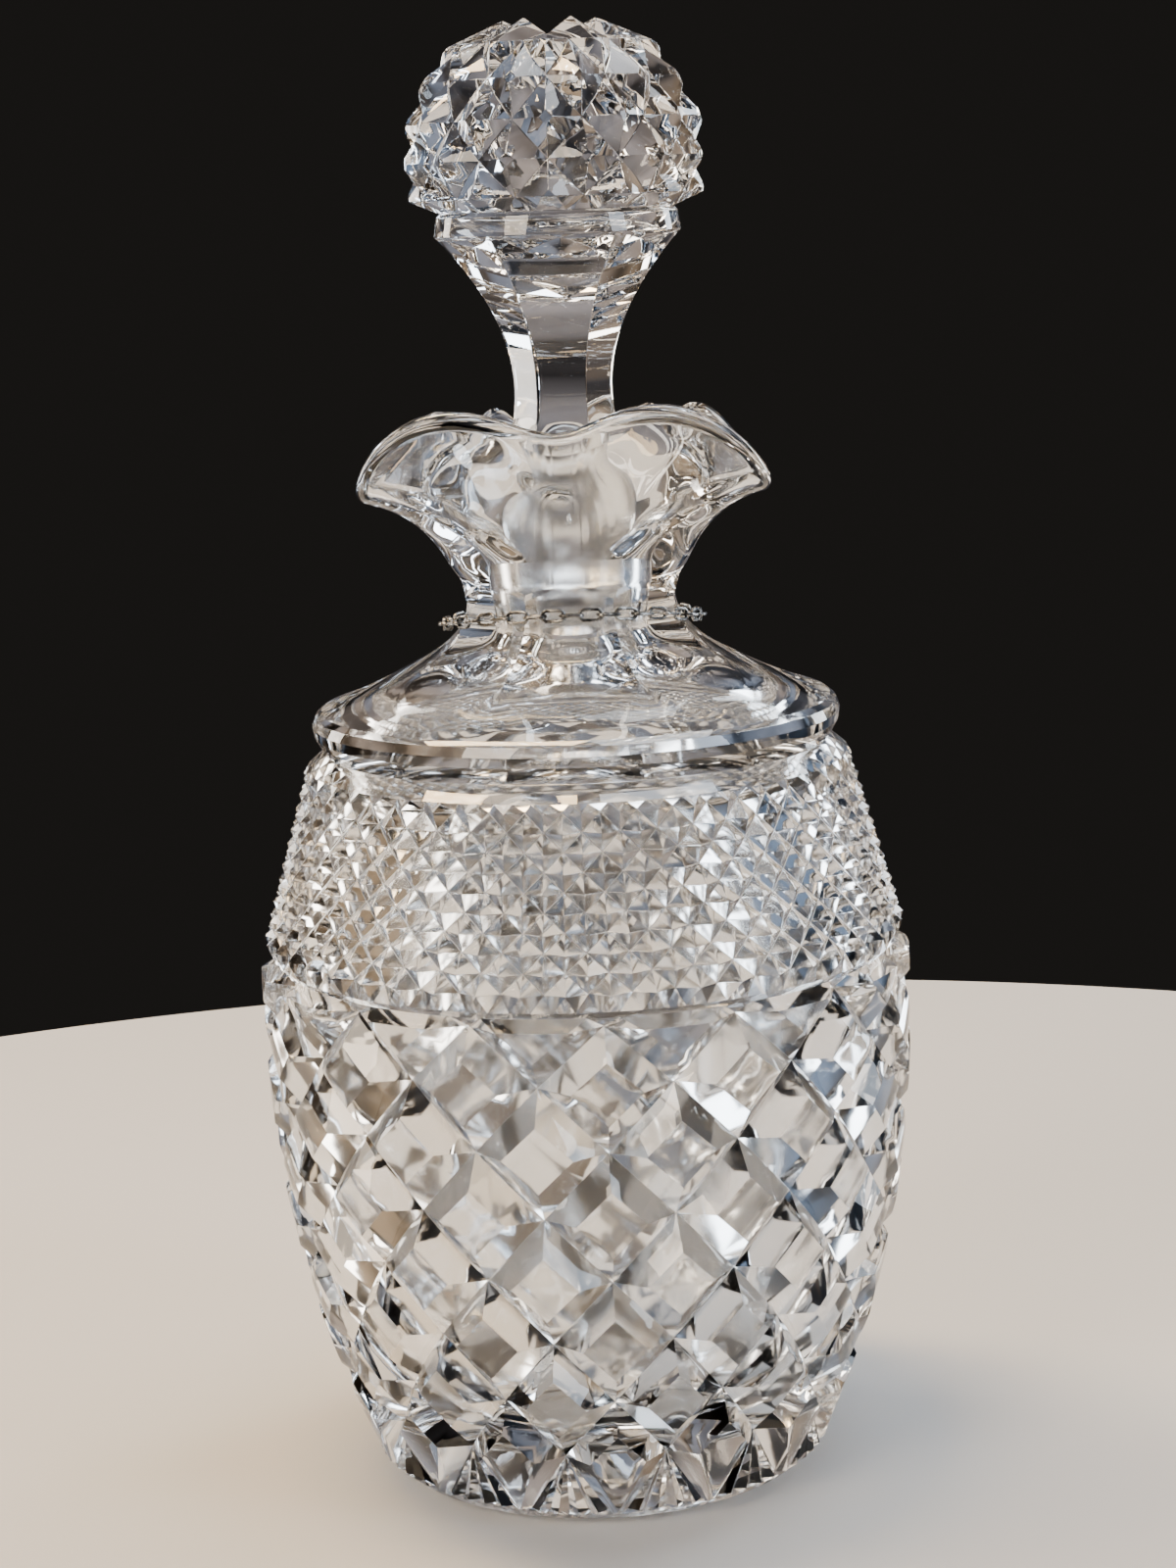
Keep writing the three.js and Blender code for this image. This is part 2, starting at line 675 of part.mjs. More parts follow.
function jumpRing(name, side) {
  const ring = new THREE.Mesh(ringGeometry(), silver);
  ring.name = name;
  ring.rotation.y = Math.PI / 2;
  ring.position.set(side * HINGE_SPREAD, HINGE_Y, HINGE_Z);
  return ring;
}

// The label is a thin plate bent across its width, with two holes for the rings. It is laid out
// from its top edge downwards as [distance from the hinge line, share of the full half width].
const LABEL_ROWS = [
  [0.7, 0.94], [1.4, 1], [3.2, 1], [7.5, 0.99], [12, 0.93], [16, 0.8], [19, 0.6], [20.4, 0.35],
];
const LABEL_COLUMNS = [-1, -0.83, -0.726, -0.48, -0.24, 0, 0.24, 0.48, 0.726, 0.83, 1];
const HOLE_ROW = 1;
const HOLE_COLUMNS = [1, 8];

function labelPoint(row, column, side) {
  const [down, widthShare] = LABEL_ROWS[row];
  const x = LABEL_COLUMNS[column] * LABEL_HALF_WIDTH * widthShare;
  const crown = (HINGE_SPREAD ** 2 - x ** 2) / (2 * LABEL_BEND_RADIUS);
  const lift = crown + side * LABEL_THICKNESS / 2;
  return [
    x,
    down * Math.cos(LABEL_SLOPE) + lift * Math.sin(LABEL_SLOPE),
    -down * Math.sin(LABEL_SLOPE) + lift * Math.cos(LABEL_SLOPE),
  ];
}

function neckLabel() {
  const rows = LABEL_ROWS.length;
  const columns = LABEL_COLUMNS.length;
  const positions = [];
  const indices = [];
  for (const side of [-1, 1]) {
    for (let row = 0; row < rows; row += 1) {
      for (let column = 0; column < columns; column += 1) {
        positions.push(...labelPoint(row, column, side));
      }
    }
  }
  const under = (row, column) => row * columns + column;
  const over = (row, column) => rows * columns + under(row, column);
  const quad = (a, b, c, d) => indices.push(a, b, c, a, c, d);
  const solid = (row, column) => (
    row >= 0 && row < rows - 1 && column >= 0 && column < columns - 1
    && !(row === HOLE_ROW && HOLE_COLUMNS.includes(column))
  );
  const wall = (row, column, nextRow, nextColumn) => quad(
    under(row, column), under(nextRow, nextColumn), over(nextRow, nextColumn), over(row, column),
  );
  for (let r = 0; r < rows - 1; r += 1) {
    for (let c = 0; c < columns - 1; c += 1) {
      if (solid(r, c)) {
        quad(over(r, c), over(r, c + 1), over(r + 1, c + 1), over(r + 1, c));
        quad(under(r, c), under(r + 1, c), under(r + 1, c + 1), under(r, c + 1));
        if (!solid(r - 1, c)) wall(r, c, r, c + 1);
        if (!solid(r + 1, c)) wall(r + 1, c + 1, r + 1, c);
        if (!solid(r, c - 1)) wall(r + 1, c, r, c);
        if (!solid(r, c + 1)) wall(r, c + 1, r + 1, c + 1);
      }
    }
  }
  const geometry = new THREE.BufferGeometry();
  geometry.setAttribute('position', new THREE.Float32BufferAttribute(positions, 3));
  geometry.setIndex(indices);
  return geometry;
}

// ---------------------------------------------------------------- assembly

function named(name, geometry, material) {
  const mesh = new THREE.Mesh(geometry, material);
  mesh.name = name;
  return mesh;
}

const label = named('neck_label', neckLabel(), labelSilver);
label.position.set(0, HINGE_Y, HINGE_Z);

const decanter = new THREE.Group();
decanter.add(
  named('decanter_body', decanterBody(), crystal),
  named('stopper', stopper(), crystal),
  ...chainLinks(),
  jumpRing('jump_ring_left', -1),
  jumpRing('jump_ring_right', 1),
  label,
);

export default decanter;
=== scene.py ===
import math

import bmesh
import bpy
import numpy as np
from mathutils import Matrix, Vector


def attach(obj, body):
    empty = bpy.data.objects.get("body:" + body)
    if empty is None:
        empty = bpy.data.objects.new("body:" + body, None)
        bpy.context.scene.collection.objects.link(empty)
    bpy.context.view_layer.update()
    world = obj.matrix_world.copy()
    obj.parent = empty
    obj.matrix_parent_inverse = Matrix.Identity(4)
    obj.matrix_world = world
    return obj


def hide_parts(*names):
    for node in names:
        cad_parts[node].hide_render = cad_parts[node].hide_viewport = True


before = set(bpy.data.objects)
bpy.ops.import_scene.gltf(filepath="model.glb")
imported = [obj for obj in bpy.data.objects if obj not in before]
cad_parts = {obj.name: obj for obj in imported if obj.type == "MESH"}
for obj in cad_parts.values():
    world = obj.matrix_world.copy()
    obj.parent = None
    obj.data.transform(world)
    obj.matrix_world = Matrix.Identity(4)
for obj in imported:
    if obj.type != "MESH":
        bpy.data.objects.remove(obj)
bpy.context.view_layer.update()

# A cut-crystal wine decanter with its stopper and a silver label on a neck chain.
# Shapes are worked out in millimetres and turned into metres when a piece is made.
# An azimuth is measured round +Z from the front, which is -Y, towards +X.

MM = 0.001
DEGREE = math.pi / 180
FULL_TURN = 2 * math.pi

# ---------------------------------------------------------------- driving dimensions

# Belly
FOOT_RADIUS = 41.2
BELLY_RADIUS = 60.1
BELLY_HEIGHT = 90
BELLY_FULLNESS = 2.24
DIAMOND_COUNT = 15
DIAMOND_PHASE = 14.9 * DEGREE
DIAMOND_DEPTH = 4.2
DIAMOND_TABLE = 0.5
DIAMOND_TABLE_STEPS = 4
DIAMOND_HEIGHTS = [14.5, 26, 38, 50, 62, 74, 85.8, 96.4]
STEP_RADIUS = 56.6
STEP_HEIGHT = 98
STEP_BEVEL = 1.3

# Foot
STAR_POINTS = 16
STAR_RADIUS = 30
STAR_DEPTH = 1.6
STAR_WAIST = 0.5
STAR_WAIST_DEPTH = 1.2
STAR_NOTCH = 0.86
STAR_RIDGE = 0.35
REST_RADIUS = 36
# The rounded edge, as (share of the way from REST_RADIUS to FOOT_RADIUS, height)
FOOT_EDGE = [(0, 0), (0.32, 0.3), (0.58, 0.8), (0.8, 1.45), (0.95, 2.4)]
RAY_RISE = 3.6
RAY_DEPTH = 1.4
RAYS_PER_FAN = 10

# Fine band
BAND_COUNT = 48
BAND_PHASE = 0.4 * DEGREE
BAND_DEPTH = 2.0
BAND_ROWS = 10
BAND_BOTTOM = 102.4
BAND_TOP = 131.9
BAND_RADIUS = 59.1
BAND_TAPER = 0.29

# Notch, shoulder and neck
COLUMNS = 192
STRIP_TOP_RADIUS = 49.6
STRIP_RISE = 1.6
NOTCH_RADIUS = 46.3
NOTCH_HEIGHT = 136.3
SHOULDER_RIM_RADIUS = 48.3
SHOULDER_RIM_HEIGHT = 141.2
# The rim's rounding, as (distance in from its radius, distance up from its height)
SHOULDER_RIM_EDGE = [(0.3, -1.8), (0, 0), (0.6, 1.7)]
SHOULDER_START = (1.7, 2.6)
FLUTE_COUNT = 8
FLUTE_PHASE = -1.2 * DEGREE
# The shoulder, neck, lip and bore have their first column on a ridge between two flutes.
FIRST_COLUMN = FLUTE_PHASE - FULL_TURN / FLUTE_COUNT / 2
RIDGE_RISE = 1.3
NECK_RADIUS = 18.9
NECK_HEIGHT = 162.5

# Lip
LOBE_COUNT = 3
LOBE_AZIMUTH = 57 * DEGREE
PINCH_RADIUS = 23.5
LOBE_RADIUS = 38.2
PINCH_HEIGHT = 192.2
CREST_RISE = 25
LOBE_DROOP = 32.4
BACK_DROP = 3.5
DROOP_SHIFT = 15.5 * DEGREE
PINCH_LEAN = 82 * DEGREE
LOBE_LEAN = 4 * DEGREE
PINCH_MOUTH_LEAN = 80 * DEGREE
LOBE_MOUTH_LEAN = 36 * DEGREE
RIM_HALF_THICKNESS = 1.9
LIP_FLARE = (23.4, 171.2)
OUTER_PULL = (9, 12)
INNER_PULL = (7, 12)
MOUTH_PULL = (9, 10)
LIP_OUTER_STEPS = 14
LIP_RIM_STEPS = 16
LIP_INNER_STEPS = 16

# Bore and cavity
GROUND_GAP = 0.3
BORE_TOP = 172
BORE_BOTTOM = 155.5
BORE_HEIGHTS = [BORE_TOP, 166, 161, BORE_BOTTOM]
CAVITY_FLOOR = 14
# The floor rises by this times the square of the radius
CAVITY_FLOOR_RISE = 0.0005
CAVITY_FLOOR_RINGS = (13, 7)
CAVITY_SHOULDER = 133
CAVITY_STEPS = 72

# Stopper
PLUG_BOTTOM = 153.7
PLUG_RADIUS = 8.7
PLUG_TAPER = 0.05
PLUG_TAPER_START = 157
PLUG_END = [(2.4, 0.2), (0.6, 1.2)]
PANEL_COUNT = 6
PANEL_PHASE = -2.5 * DEGREE
STOPPER_COLUMNS = 96
PLUG_TAPER_END = 187.5
STEM_RADIUS = 9.4
STEM_FOOT = 194.5
STEM_BEAD = 0.6
STEM_BEAD_SHARE = 0.45
STEM_BEAD_FLATNESS = 0.5
STEM_STEPS = 24
COLLAR_BOTTOM = 228
COLLAR_TOP = 232.1
COLLAR_RADIUS = 22.1
COLLAR_BEVEL = 0.6
# The collar's edge, as (distance in from its radius, height)
COLLAR_EDGE = [(0, COLLAR_BOTTOM), (0.5, COLLAR_TOP - 0.7), (1.2, COLLAR_TOP)]
HEAD_RADIUS = 27
HEAD_CENTRE = 241
HEAD_COUNT = 12
HEAD_DEPTH = 3
HEAD_TABLE = 0.18
HEAD_TABLE_STEPS = 2
HEAD_HEIGHTS = [234.4, 240.8, 247.6, 254.8, 261]
TIP_HEIGHT = 265.3
TIP_RADIUS = 8.2
CROWN_GROOVE_DROP = 3.1
CROWN_GROOVE_REACH = 1
CROWN_CENTRE_DROP = 3.9

# Chain, rings and label
LINK_WIRE = 0.62
RING_WIRE = 0.6
WIRE_STEPS = 40
WIRE_SIDES = 10
HINGE_SPREAD = 14
HINGE_Y = 26.3
HINGE_Z = 156.6
LABEL_HALF_WIDTH = 18
LABEL_THICKNESS = 0.9
LABEL_SLOPE = 27 * DEGREE
LABEL_BEND_RADIUS = 80

# Polished edges
BIG_CUT_EDGE = 0.18
FINE_CUT_EDGE = 0.08
STOPPER_EDGE = 0.12
SHARP_ANGLE = 14 * DEGREE
CUT_ANGLE = 17 * DEGREE
BAND_GROOVE_SHARE = 0.86
BELLY_GROOVE_SHARE = 0.95
BAND_MARGIN = 1
MERGE_DISTANCE = 0.0005


# ---------------------------------------------------------------- shell building

class Shell:
    """A closed skin made of loops of points round the axis. A point is (index, azimuth)."""

    def __init__(self):
        self.points = []
        self.faces = []
        self.slots = []
        self.slot = 0

    def point(self, azimuth, radius, height):
        self.points.append((radius * math.sin(azimuth), -radius * math.cos(azimuth), height))
        return len(self.points) - 1, azimuth

    def loop(self, count, phase, place):
        """place(azimuth, column) gives (radius, height)."""
        azimuths = [phase + column / count * FULL_TURN for column in range(count)]
        return [self.point(azimuth, *place(azimuth, k)) for k, azimuth in enumerate(azimuths)]

    def ring(self, count, radius, height, phase=0.0):
        return self.loop(count, phase, lambda azimuth, column: (radius, height))

    def face(self, *corners):
        self.faces.append([index for index, azimuth in corners])
        self.slots.append(self.slot)

    def strip(self, low, high):
        """Joins two loops with quads where they match, and otherwise across shorter diagonals."""
        if len(low) == len(high) and abs(low[0][1] - high[0][1]) < 1e-6:
            count = len(low)
            for k in range(count):
                after = (k + 1) % count
                self.face(low[k], low[after], high[after], high[k])
            return
        start = min(range(len(high)), key=lambda k: abs(math.sin((high[k][1] - low[0][1]) / 2)))
        lift = round((low[0][1] - high[start][1]) / FULL_TURN) * FULL_TURN
        low_steps = len(low) if len(low) > 1 else 0
        high_steps = len(high) if len(high) > 1 else 0
        i = j = 0
        while i < low_steps or j < high_steps:
            here, there = point_at(low, i, 0), point_at(high, start + j, lift)
            next_here, next_there = point_at(low, i + 1, 0), point_at(high, start + j + 1, lift)
            nearer_low = abs(next_here[1] - there[1]) < abs(next_there[1] - here[1])
            if j >= high_steps or (i < low_steps and nearer_low):
                self.face(here, next_here, there)
                i += 1
            else:
                self.face(here, next_there, there)
                j += 1

    def strips(self, loops):
        for low, high in zip(loops, loops[1:]):
            self.strip(low, high)


def point_at(loop, step, lift):
    index, azimuth = loop[step % len(loop)]
    turns = step // len(loop) if len(loop) > 1 else 0
    return index, azimuth + turns * FULL_TURN + lift


def mix(a, b, share):
    return a + (b - a) * share


def cut_diamonds(shell, count, phase, heights, surface_radius, depth, table, steps):
    """A band of diamonds between crossing grooves. table is the flat top's share of a diamond's
    width, and steps says how finely that top is divided. Gives the bottom and top edge loops."""
    pitch = FULL_TURN / count
    flank = (1 - table) / 2
    ticks = [0] + [mix(flank, 1 - flank, k / max(steps, 1)) for k in range(steps + 1)] + [1]
    last = len(ticks) - 1
    edges = ([], [])
    for row, height in enumerate(heights):
        below = height - heights[row - 1] if row > 0 else None
        above = heights[row + 1] - height if row < len(heights) - 1 else None
        lower, upper = below or above, above or below

        def surface_point(s, t, middle):
            azimuth = middle + (s - t) * pitch / 2
            z = height - lower * (1 - s) * (1 - t) + upper * s * t
            inset = min(s, 1 - s, t, 1 - t)
            cut = depth * (1 - min(1, inset / flank))
            return shell.point(azimuth, surface_radius(z) - cut, z)

        for j in range(count):
            middle = phase + (row % 2 / 2 + j + 0.5) * pitch
            grid = [[surface_point(s, t, middle) for t in ticks] for s in ticks]
            for a in range(last):
                for b in range(last):
                    corners = grid[a][b], grid[a + 1][b], grid[a + 1][b + 1], grid[a][b + 1]
                    diamond_quad(shell, corners, a, b, last, below, above)
            if below is None or above is None:
                edge = edges[0] if below is None else edges[1]
                edge.extend(grid[k][last - k] for k in range(last))
    return edges


def diamond_quad(shell, corners, a, b, last, below, above):
    """One quad of a diamond's grid, split along its creases. A half diamond at the edge of the
    band keeps only the side of the level line that is inside the band."""
    low, right, high, left = corners
    rung = a + b - (last - 1)
    if (below is None and rung < 0) or (above is None and rung > 0):
        return
    if rung == 0 and (below is None or above is None):
        shell.face(right, high, left) if below is None else shell.face(low, right, left)
    elif rung == 0:
        shell.face(low, right, left)
        shell.face(right, high, left)
    elif a == b:
        shell.face(low, right, high)
        shell.face(low, high, left)
    else:
        shell.face(low, right, high, left)


# ---------------------------------------------------------------- outlines, as (radius, height)

def belly_radius(height):
    below = abs(BELLY_HEIGHT - height) / BELLY_HEIGHT
    return BELLY_RADIUS - (BELLY_RADIUS - FOOT_RADIUS) * below ** BELLY_FULLNESS


def band_radius(height):
    return BAND_RADIUS - BAND_TAPER * (height - BAND_BOTTOM)


def head_radius(height):
    return math.sqrt(HEAD_RADIUS ** 2 - (height - HEAD_CENTRE) ** 2)


def plug_radius(height):
    return PLUG_RADIUS + PLUG_TAPER * (height - PLUG_TAPER_START)


def bezier(corners, t):
    """The point and the unit direction at t on a curve through three or four corners."""
    corners = [np.array(corner, float) for corner in corners]
    order = len(corners) - 1
    weights = [math.comb(order, k) * t ** k * (1 - t) ** (order - k) for k in range(order + 1)]
    slopes = [math.comb(order - 1, k) * t ** k * (1 - t) ** (order - 1 - k) for k in range(order)]
    point = sum(w * c for w, c in zip(weights, corners))
    direction = sum(w * (b - a) for w, a, b in zip(slopes, corners, corners[1:]))
    return point, direction / np.linalg.norm(direction)


def catmull_rom(stops, share):
    """The point at share, from 0 to 1, on a smooth curve through the stops."""
    stops = [np.array(stop, float) for stop in stops]
    place = share * (len(stops) - 1)
    k = min(int(place), len(stops) - 2)
    t = place - k
    a, b, c, d = (stops[min(max(i, 0), len(stops) - 1)] for i in range(k - 1, k + 3))
    return b + t / 2 * ((c - a) + t * ((2 * a - 5 * b + 4 * c - d) + t * (3 * b - a - 3 * c + d)))


SHOULDER_SWEEP = [
    (SHOULDER_RIM_RADIUS - SHOULDER_START[0], SHOULDER_RIM_HEIGHT + SHOULDER_START[1]),
    (36, 147.2), (20.5, 151), (NECK_RADIUS, NECK_HEIGHT),
]
NECK_TOP = (20.6, 167.6)
NECK_SWEEP = [(NECK_RADIUS, NECK_HEIGHT), (NECK_RADIUS, 165.2), NECK_TOP]
STEM_SWEEP = [
    (STEM_RADIUS, STEM_FOOT), (8, 202), (8.3, 213),
    (COLLAR_RADIUS - COLLAR_BEVEL, COLLAR_BOTTOM - COLLAR_BEVEL),
]
CAVITY_STOPS = [
    (9.0, 154.2), (12.5, 149.3), (22, 145.8), (33, 140.6), (42.5, 131), (47.6, 117),
    (51.6, 103), (53, 89), (51.6, 64), (48.2, 43), (42, 24.5), (34, 16), (20, 14.2),
]

# The flutes run down the neck and fan out over the shoulder. along is 0 at the shoulder's rim,
# 1 at the narrowest neck and 1.3 at the top of the neck. The flutes' ends are arcs.
NECK_END = 1.3
FLUTE_LOW = 0.12
FLUTE_LOW_ARC = 0.33
FLUTE_HIGH = 1.22
FLUTE_HIGH_ARC = 0.1
FLUTE_ROWS = 28
# The rows before and after the flutes, as shares of the way to or from their ends
FLUTE_END_SHARES = (0, 0.33, 0.66, 1)


def flute_share(azimuth):
    half = FULL_TURN / FLUTE_COUNT / 2
    aside = abs(azimuth - FLUTE_PHASE) % (2 * half)
    return (min(aside, 2 * half - aside) / half) ** 2


def shoulder_point(along, azimuth):
    if along > 1:
        centre, tangent = bezier(NECK_SWEEP, (along - 1) / (NECK_END - 1))
    else:
        centre, tangent = bezier(SHOULDER_SWEEP, along)
    low_end = (along - FLUTE_LOW) / FLUTE_LOW_ARC
    high_end = (FLUTE_HIGH - along) / FLUTE_HIGH_ARC
    uncut = max(0, min(1, low_end, high_end))
    rise = RIDGE_RISE * min(uncut, flute_share(azimuth))
    return centre[0] + tangent[1] * rise, centre[1] - tangent[0] * rise


def lobe_share(azimuth):
    """1 at the middle of a lobe of the lip and 0 at a pinch."""
    return 0.5 + 0.5 * math.cos(LOBE_COUNT * (azimuth - LOBE_AZIMUTH))


def lip_section(azimuth):
    """The lip's outer curve, its round rim and its inner curve at one azimuth."""
    lobe = lobe_share(azimuth)
    droop = lobe_share(azimuth - DROOP_SHIFT * math.sin(azimuth))
    behind = (1 - math.cos(azimuth)) / 2
    rise = CREST_RISE * droop - LOBE_DROOP * droop ** 2 - BACK_DROP * behind
    centre = np.array([mix(PINCH_RADIUS, LOBE_RADIUS, lobe), PINCH_HEIGHT + rise])
    lean = mix(PINCH_LEAN, LOBE_LEAN, lobe)
    outward = np.array([math.cos(lean), math.sin(lean)])
    inward = np.array([-math.sin(lean), math.cos(lean)])
    outer_edge = centre - inward * RIM_HALF_THICKNESS
    inner_edge = centre + inward * RIM_HALF_THICKNESS
    bore_edge = np.array([plug_radius(BORE_TOP) + GROUND_GAP, BORE_TOP])
    mouth_lean = mix(PINCH_MOUTH_LEAN, LOBE_MOUTH_LEAN, lobe)
    mouth = np.array([math.cos(mouth_lean), math.sin(mouth_lean)])
    outer = [NECK_TOP, LIP_FLARE, outer_edge - outward * mix(*OUTER_PULL, lobe), outer_edge]
    inner = [
        inner_edge,
        inner_edge - outward * mix(*INNER_PULL, lobe),
        bore_edge + mouth * mix(*MOUTH_PULL, lobe),
        bore_edge,
    ]

    def rim(turn):
        return centre + (outward * math.sin(turn) - inward * math.cos(turn)) * RIM_HALF_THICKNESS

    return outer, rim, inner


# ---------------------------------------------------------------- decanter body

CUT_GLASS = 0
BLOWN_GLASS = 1
CAVITY_GLASS = 2
FINE_GLASS = 3
GROOVE_GLASS = 4
GROUND_GLASS = 5

# Seed bubbles in the glass, as (azimuth in degrees, radius, height, half width, half height)
SEEDS = [
    (0.5, 20.0, 179.0, 0.4, 1.0),
    (-6, 15.0, 160.6, 0.25, 0.25),
    (8, 14.6, 158.9, 0.2, 0.2),
    (6, 29.0, 145.2, 0.7, 0.22),
    (-21, 31.0, 144.4, 0.25, 0.2),
]
SEED_COLUMNS = 32
SEED_ROWS = 24


def star_foot(shell):
    count = 2 * STAR_POINTS

    def waist(azimuth, column):
        depth = STAR_WAIST_DEPTH * (1 if column % 2 == 0 else STAR_RIDGE)
        return STAR_RADIUS * STAR_WAIST, depth

    def tips(azimuth, column):
        return STAR_RADIUS * (1 if column % 2 == 0 else STAR_NOTCH), 0

    return [
        [shell.point(0, 0, STAR_DEPTH)],
        shell.loop(count, 0, waist),
        shell.loop(count, 0, tips),
        *[shell.ring(COLUMNS, mix(REST_RADIUS, FOOT_RADIUS, s), height) for s, height in FOOT_EDGE],
    ]


def ray_ring(shell):
    """Where the rays end above the foot. Every second point is cut in."""
    radius = belly_radius(RAY_RISE)

    def place(azimuth, column):
        return (radius - RAY_DEPTH if column % 2 == 0 else radius), RAY_RISE

    return shell.loop(RAYS_PER_FAN * DIAMOND_COUNT, DIAMOND_PHASE, place)


def ray_fans(shell, rays, edge):
    """Rays fan out from each groove crossing of the lowest row and meet halfway to the next
    crossing, under the middle of the half diamond between them."""
    points = len(edge) // DIAMOND_COUNT
    half = RAYS_PER_FAN // 2
    for cell in range(DIAMOND_COUNT):
        ray = [rays[(cell * RAYS_PER_FAN + k) % len(rays)] for k in range(RAYS_PER_FAN + 1)]
        above = [edge[(cell * points + k) % len(edge)] for k in range(points + 1)]
        for k in range(half - 1):
            shell.face(ray[k], ray[k + 1], above[0])
            shell.face(ray[half + 1 + k], ray[half + 2 + k], above[points])
        shell.face(ray[half - 1], above[1], above[0])
        shell.face(ray[half - 1], ray[half], above[1])
        for k in range(1, points - 1):
            shell.face(ray[half], above[k + 1], above[k])
        shell.face(ray[half], ray[half + 1], above[points - 1])
        shell.face(ray[half + 1], above[points], above[points - 1])


def shoulder_loops(shell):
    def row(along):
        return shell.loop(COLUMNS, FIRST_COLUMN, lambda a, k: shoulder_point(along(a), a))

    def low_end(azimuth):
        return FLUTE_LOW + FLUTE_LOW_ARC * flute_share(azimuth)

    def high_end(azimuth):
        return FLUTE_HIGH - FLUTE_HIGH_ARC * flute_share(azimuth)

    def flute(azimuth, share):
        return mix(low_end(azimuth), high_end(azimuth), share)

    loops = [row(lambda a, t=t: low_end(a) * t) for t in FLUTE_END_SHARES[:-1]]
    loops += [row(lambda a, t=t: flute(a, t / FLUTE_ROWS)) for t in range(FLUTE_ROWS + 1)]
    loops += [row(lambda a, t=t: mix(high_end(a), NECK_END, t)) for t in FLUTE_END_SHARES[1:]]
    return loops


def lip_loops(shell):
    """The loops up the lip's outside and over its rim, and then those down into the mouth."""
    azimuths = [FIRST_COLUMN + k / COLUMNS * FULL_TURN for k in range(COLUMNS)]
    outers, rims, inners = zip(*[lip_section(azimuth) for azimuth in azimuths])

    def row(place):
        return shell.loop(COLUMNS, FIRST_COLUMN, lambda azimuth, column: tuple(place(column)))

    def curve_row(curves, share):
        return row(lambda column: bezier(curves[column], share)[0])

    outer = [curve_row(outers, step / LIP_OUTER_STEPS) for step in range(1, LIP_OUTER_STEPS)]
    turns = [step / LIP_RIM_STEPS * math.pi for step in range(LIP_RIM_STEPS + 1)]
    rim = [row(lambda column, turn=turn: rims[column](turn)) for turn in turns]
    mouth = [curve_row(inners, step / LIP_INNER_STEPS) for step in range(1, LIP_INNER_STEPS)]
    return outer + rim, mouth


def cavity_loops(shell):
    """The loops of the bore, of the cavity under the shoulder, and of the rest of the cavity."""
    def ring(radius, height):
        return shell.ring(COLUMNS, radius, height, FIRST_COLUMN)

    bore = [ring(plug_radius(z) + GROUND_GAP, z) for z in BORE_HEIGHTS]
    stops = [catmull_rom(CAVITY_STOPS, k / CAVITY_STEPS) for k in range(CAVITY_STEPS + 1)]
    under_shoulder = [ring(*stop) for stop in stops if stop[1] > CAVITY_SHOULDER]
    wall = [ring(*stop) for stop in stops if stop[1] <= CAVITY_SHOULDER]
    floor = [ring(r, CAVITY_FLOOR + CAVITY_FLOOR_RISE * r ** 2) for r in CAVITY_FLOOR_RINGS]
    return bore, under_shoulder, [*wall, *floor, [shell.point(0, 0, CAVITY_FLOOR)]]


def add_seed(shell, azimuth, radius, height, half_width, half_height):
    """A bubble of air inside the glass, so its faces look inwards."""
    centre = np.array([radius * math.sin(azimuth), -radius * math.cos(azimuth), height])
    first = len(shell.points)
    for row in range(SEED_ROWS + 1):
        rise = math.pi * row / SEED_ROWS
        for column in range(SEED_COLUMNS):
            turn = FULL_TURN * column / SEED_COLUMNS
            sideways = half_width * math.sin(rise)
            offset = (
                sideways * math.cos(turn), sideways * math.sin(turn), -half_height * math.cos(rise)
            )
            shell.points.append(tuple(centre + offset))
    for row in range(SEED_ROWS):
        for column in range(SEED_COLUMNS):
            after = (column + 1) % SEED_COLUMNS
            low = first + row * SEED_COLUMNS
            high = low + SEED_COLUMNS
            shell.faces.append([high + column, high + after, low + after, low + column])
            shell.slots.append(BLOWN_GLASS)


